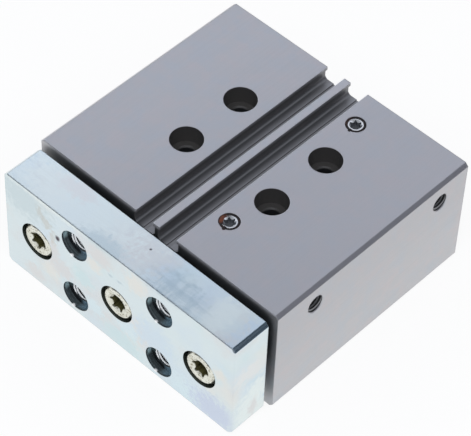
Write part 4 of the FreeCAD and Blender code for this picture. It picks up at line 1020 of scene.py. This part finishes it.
for slot, tint in (
    ("cap_aluminium", (0.66, 0.67, 0.69, 1.0)),
    ("piston_aluminium", (0.76, 0.76, 0.77, 1.0)),
):
    tree, shader = new_finish(slot, 0.9, 0.35)
    edges = use_group(tree, soft_edges, radius=0.00012)
    ring = use_group(tree, turned_rings, pitch=0.12)["Ring"]
    skin = mix_colour(tree, stretch(tree, ring, 0.35, 0.65, 0.0, 0.7), tint, dimmed(tint, 0.8))
    # Painted shade: recesses found by ambient occlusion are darkened in colour.
    open_share = use_group(tree, recess_shade, reach=0.005)["Open"]
    skin = mix_colour(tree, stretch(tree, open_share, 0.10, 0.70, 1.0, 0.0), skin, ALUMINIUM_DEEP_SHADE)
    tree.links.new(skin, shader.inputs["Base Color"])
    tree.links.new(stretch(tree, ring, 0.3, 0.7, 0.28, 0.42), shader.inputs["Roughness"])
    add_bump(tree, shader, ring, edges["Normal"], 0.006)
    print(slot + ":", len(tree.nodes), "nodes")

# %% [markdown]
# ## Rubber, plastic and ferrite
#
# Seals, wipers, cushions, ball cages and the magnet ring hardly show, but they appear at the rear and when
# the yoke is out. They are matt, not metal, with a fine moulded speckle and a slight change of colour. They
# could share one black, but then a seal and a cage side by side would look like one piece.

# %% Moulded materials
def moulded_finish(slot, tint, patch_tint, roughness, grain):
    """A moulded or pressed material with a fine speckle."""
    tree, shader = new_finish(slot, 0.0, roughness)
    edges = use_group(tree, soft_edges, radius=0.00012)
    speckle = use_group(tree, fine_grain, grain=grain)["Height"]
    patch = use_group(tree, cloud_patches, size=2.5, seed=7.0)["Cloud"]
    skin = mix_colour(tree, stretch(tree, patch, 0.40, 0.65, 0.0, 1.0), tint, patch_tint)
    tree.links.new(skin, shader.inputs["Base Color"])
    gloss = stretch(tree, speckle, 0.3, 0.7, roughness - 0.06, roughness + 0.06)
    tree.links.new(gloss, shader.inputs["Roughness"])
    add_bump(tree, shader, speckle, edges["Normal"], 0.008)
    print(slot + ":", len(tree.nodes), "nodes")


moulded_finish("seal_rubber", (0.022, 0.022, 0.022, 1), (0.035, 0.034, 0.033, 1), 0.52, 0.15)
moulded_finish("bumper_rubber", (0.035, 0.035, 0.035, 1), (0.055, 0.053, 0.050, 1), 0.60, 0.20)
moulded_finish("seal_polyurethane", (0.10, 0.18, 0.31, 1), (0.13, 0.22, 0.36, 1), 0.38, 0.25)
moulded_finish("cage_plastic", (0.055, 0.055, 0.058, 1), (0.075, 0.075, 0.075, 1), 0.42, 0.18)
moulded_finish("wear_plastic", (0.17, 0.13, 0.09, 1), (0.21, 0.16, 0.11, 1), 0.50, 0.18)
moulded_finish("magnet_ferrite", (0.085, 0.083, 0.080, 1), (0.12, 0.115, 0.11, 1), 0.55, 0.10)

# %% [markdown]
# ## Finishes on their pieces
#
# The record names a material slot for each CAD node, and the finishes carry the names of those slots. They
# could be given out one by one, but a loop over the record forgets no node.

# %% Give each node its finish
for row in record["subparts"]:
    for holder in nodes[row["node"]].material_slots:
        holder.material = finishes[row["material_slot"]]
print("finishes given to", len(record["subparts"]), "nodes")

# %% [markdown]
# ## Cut threads
#
# Tapped holes are plain cylinders in the CAD, at the outer size of the thread. A real thread leaves a
# spiral ridge that catches the light as bright arcs. It could be faked with bump, but the holes are looked
# into, so the ridge is built: a small flat-topped section carried along a helix, set a little into the
# wall, and faded out at both ends where the tap runs in and out. The tap leaves bright flanks. In the plate
# their pale, nearly matt tint is also a painted highlight for the arcs, and they get none of the painted
# shade of the hole round them.

# %% Bright flanks
# On the plate the flanks take a pale, nearly matt tint: bare cut zinc, and a painted highlight for the
# bright arcs.
for name, tint, metallic, roughness in (
    ("cut_zinc", ZINC_BRIGHT_HIGHLIGHT, 0.1, 0.20),
    ("cut_aluminium", (0.24, 0.24, 0.25, 1.0), 0.4, 0.28),
):
    tree, shader = new_finish(name, metallic, roughness)
    chatter = use_group(tree, fine_grain, grain=0.15)["Height"]
    flank = mix_colour(tree, stretch(tree, chatter, 0.4, 0.7, 0.0, 0.8), tint, dimmed(tint, 0.7))
    tree.links.new(flank, shader.inputs["Base Color"])
    add_bump(tree, shader, chatter, use_group(tree, soft_edges, radius=0.00005)["Normal"], 0.004)
    print(name + ":", len(tree.nodes), "nodes")

# %% Added pieces
def add_piece(name, vertices, faces, finish, body):
    """A mesh piece in the part frame, with a finish, riding on a body."""
    mesh = bpy.data.meshes.new(name)
    mesh.from_pydata(vertices, [], faces)
    mesh.validate()
    mesh.update()
    piece = bpy.data.objects.new(name, mesh)
    scene.collection.objects.link(piece)
    mesh.materials.append(finishes[finish])
    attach(piece, body)
    return piece


# %% A spiral ridge on the wall of a hole
STEPS_PER_TURN = 28
RIDGE_SINK = 0.05 * MM
RIDGE_FOOT, RIDGE_CREST = 0.26, 0.08
RUN_IN, RUN_OUT = 5, 2


def thread_ridge(name, mouth, inward, side, radius, pitch, depth, length, finish, body):
    """A helical ridge standing inward from a hole's wall, from one side of its mouth along a direction."""
    side = side.normalized()
    other = inward.cross(side)
    steps = round(length / pitch * STEPS_PER_TURN)
    vertices, faces = [], []
    for step in range(steps + 1):
        angle = math.tau * step / STEPS_PER_TURN
        fade = min(1.0, step / STEPS_PER_TURN * RUN_IN, (steps - step) / STEPS_PER_TURN * RUN_OUT)
        crest = radius - depth * fade
        out = side * math.cos(angle) + other * math.sin(angle)
        along = length * step / steps
        section = ((radius + RIDGE_SINK, -RIDGE_FOOT), (crest, -RIDGE_CREST), (crest, RIDGE_CREST),
                   (radius + RIDGE_SINK, RIDGE_FOOT))
        vertices += [mouth + out * reach + inward * (along + shift * pitch) for reach, shift in section]
    for step in range(steps):
        near, far = 4 * step, 4 * step + 4
        faces += [(near + k, near + (k + 1) % 4, far + (k + 1) % 4, far + k) for k in range(4)]
    faces += [(3, 2, 1, 0), (4 * steps, 4 * steps + 1, 4 * steps + 2, 4 * steps + 3)]
    return add_piece(name, vertices, faces, finish, body)


print("a ridge of", STEPS_PER_TURN, "steps to a turn can be cut in a hole")

# %% Threads of the yoke plate
FINE_PITCH, FINE_DEPTH = 0.8 * MM, 0.40 * MM
LEAD = FINE_PITCH * 0.25
PLATE_ENTRY = 0.1 * MM
PLATE_END = FINE_PITCH * 0.8
PLATE_START = Vector((0.65, 0.0, -0.76))

plate_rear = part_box("yoke_plate")[1].y
for number, centre in enumerate(hole_centres(mounts["yoke_holes"], X, Z), 1):
    radius = mounts["yoke_holes"]["dims"]["hole_r_mm"] * MM
    mouth = centre + Y * (PLATE_ENTRY + LEAD)
    length = plate_rear - centre.y - PLATE_ENTRY - PLATE_END
    piece = thread_ridge(f"yoke_thread_{number}", mouth, Y, PLATE_START, radius, FINE_PITCH,
                         FINE_DEPTH, length, "cut_zinc", "yoke")
print("four M5 threads cut in the plate, each", round(length / MM, 2), "mm long")

# %% Threads of the base
COARSE_PITCH, COARSE_DEPTH = 1.0 * MM, 0.52 * MM
BASE_THREAD_LENGTH = 8.5 * MM

for number, centre in enumerate(hole_centres(mounts["base_holes"], X, Y), 1):
    radius = mounts["base_holes"]["dims"]["hole_r_mm"] * MM
    piece = thread_ridge(f"base_thread_{number}", centre + Z * COARSE_PITCH, Z, X, radius, COARSE_PITCH,
                         COARSE_DEPTH, BASE_THREAD_LENGTH, "cut_aluminium", "housing")
print("four M6 threads cut in the base, each", round(BASE_THREAD_LENGTH / MM, 2), "mm long")

# %% Threads of the air ports
PORT_START = Vector((0.0, 0.98, 0.22))

for name in PORTS:
    depth = mounts[name]["dims"]["length_mm"] * MM
    radius = mounts[name]["dims"]["r_mm"] * MM
    mouth = Vector(mounts[name]["pos_m"]) + X * (depth / 2 - LEAD)
    piece = thread_ridge(name.replace("air_", "") + "_thread", mouth, -X, PORT_START, radius, FINE_PITCH,
                         FINE_DEPTH, depth - FINE_PITCH, "cut_aluminium", "housing")
print("two M5 port threads cut")

# %% [markdown]
# ## Sealing compound round the plugs
#
# The drillings that feed the ports are closed with small set screws bedded in thread-locking compound. It
# fills the groove round each plug as a dark ring, whose near-black is also a painted shade of the groove,
# and where more was pushed out it lies on the housing as a red-brown smear with a small drip. A torus would
# look like a gasket, so the ring is a thin uneven band whose width and height follow the angle round the
# plug. The smear is only a tint on it, strong at the front plug and faint at the rear one.

# %% Compound finish
COMPOUND_BROWN = (0.12, 0.036, 0.017, 1.0)
COMPOUND_DARK_AND_SHADE = (0.012, 0.010, 0.010, 1.0)
SMEAR_OFFSET = Vector((-2.1, -0.7, 0.0)) * MM
SMEAR_SIZE = (1.7, 2.6, 4.0)
SMEAR_RIM = 2.6

plug_tops = {}
for end in ("front", "rear"):
    low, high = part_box(f"port_plug_{end}")
    plug_tops[end] = Vector(((low.x + high.x) / 2, (low.y + high.y) / 2, high.z))
tree, shader = new_finish("locking_compound", 0.0, 0.42)
shader.inputs["Specular IOR Level"].default_value = 0.25
blotch = use_group(tree, cloud_patches, size=0.8, seed=3.0)["Cloud"]
# Painted shade: the near-black of the band is dark compound and also stands for the shade in the groove.
skin = mix_colour(tree, stretch(tree, blotch, 0.55, 0.75, 0.0, 0.4), COMPOUND_DARK_AND_SHADE, COMPOUND_BROWN)
for end, share in (("front", 1.0), ("rear", 0.15)):
    middle = (plug_tops[end] + SMEAR_OFFSET) / MM
    smear = use_group(tree, soft_spot, centre=tuple(middle), size=SMEAR_SIZE, ragged=0.15)["Mask"]
    uneven = stretch(tree, blotch, 0.30, 0.55, 0.35 * share, share)
    axis = tuple(plug_tops[end] / MM)
    within = use_group(tree, round_bore, centre=axis, across=ALONG_Z, radius=SMEAR_RIM)["Mask"]
    smear = product(tree, smear, uneven, stretch(tree, within, 0.0, 1.0, 0.25, 1.0))
    skin = mix_colour(tree, smear, skin, COMPOUND_BROWN)
tree.links.new(skin, shader.inputs["Base Color"])
add_bump(tree, shader, blotch, use_group(tree, soft_edges, radius=0.0001)["Normal"], 0.03)
print("locking_compound:", len(tree.nodes), "nodes")

# %% Compound rings
RING_STEPS = 96
GROOVE_PROFILE = ((1.98, 0.012), (2.12, -0.06), (2.30, -0.16), (2.50, -0.16), (2.68, -0.04), (2.84, 0.08))
SWELL_REACH = (-0.50, -0.30, -0.10, 0.02, 0.06, 0.12)
SWELL_LIFT = (0.03, 0.14, 0.24, 0.26, 0.18, 0.05)
DRIP_REACH = (0.00, 0.00, 0.06, 0.18, 0.32, 0.44)
DRIP_LIFT = (0.00, 0.05, 0.18, 0.30, 0.26, 0.06)
DRIP_WIDTH = 0.16


def compound_ring(end, thick_side, amount, drip_side, seed):
    """An uneven band of compound in the groove round a plug, swollen on one side and with one drip."""
    draw = random.Random(seed)
    waves = [(draw.uniform(0, math.tau), draw.uniform(0.05, 0.16) / wave, wave) for wave in range(2, 7)]
    vertices, faces = [], []
    count = len(GROOVE_PROFILE)
    for step in range(RING_STEPS):
        angle = math.tau * step / RING_STEPS
        swell = amount * (0.5 + 0.5 * math.cos(angle - thick_side)) ** 3
        swell += sum(size * math.cos(wave * angle + phase) for phase, size, wave in waves) * (0.3 + amount)
        drip = math.exp(-(math.remainder(angle - drip_side, math.tau) / DRIP_WIDTH) ** 2)
        swell = max(0.0, swell)
        out = X * math.cos(angle) + Y * math.sin(angle)
        for k, (radius, height) in enumerate(GROOVE_PROFILE):
            radius += SWELL_REACH[k] * swell + DRIP_REACH[k] * drip
            height += SWELL_LIFT[k] * swell + DRIP_LIFT[k] * drip
            vertices.append(plug_tops[end] + (out * radius + Z * height) * MM)
    for step in range(RING_STEPS):
        near, far = step * count, (step + 1) % RING_STEPS * count
        faces += [(near + k, near + k + 1, far + k + 1, far + k) for k in range(count - 1)]
    piece = add_piece(f"compound_{end}", vertices, faces, "locking_compound", "housing")
    piece.data.polygons.foreach_set("use_smooth", [True] * len(piece.data.polygons))
    return piece


compound_ring("front", math.radians(200), 0.8, math.radians(282), 11)
compound_ring("rear", math.radians(150), 0.25, math.radians(275), 23)
print("compound laid round two plugs")

# %% [markdown]
#
# The finished model has to fill the same space as the CAD model.

# %% Update the scene
bpy.context.view_layer.update()
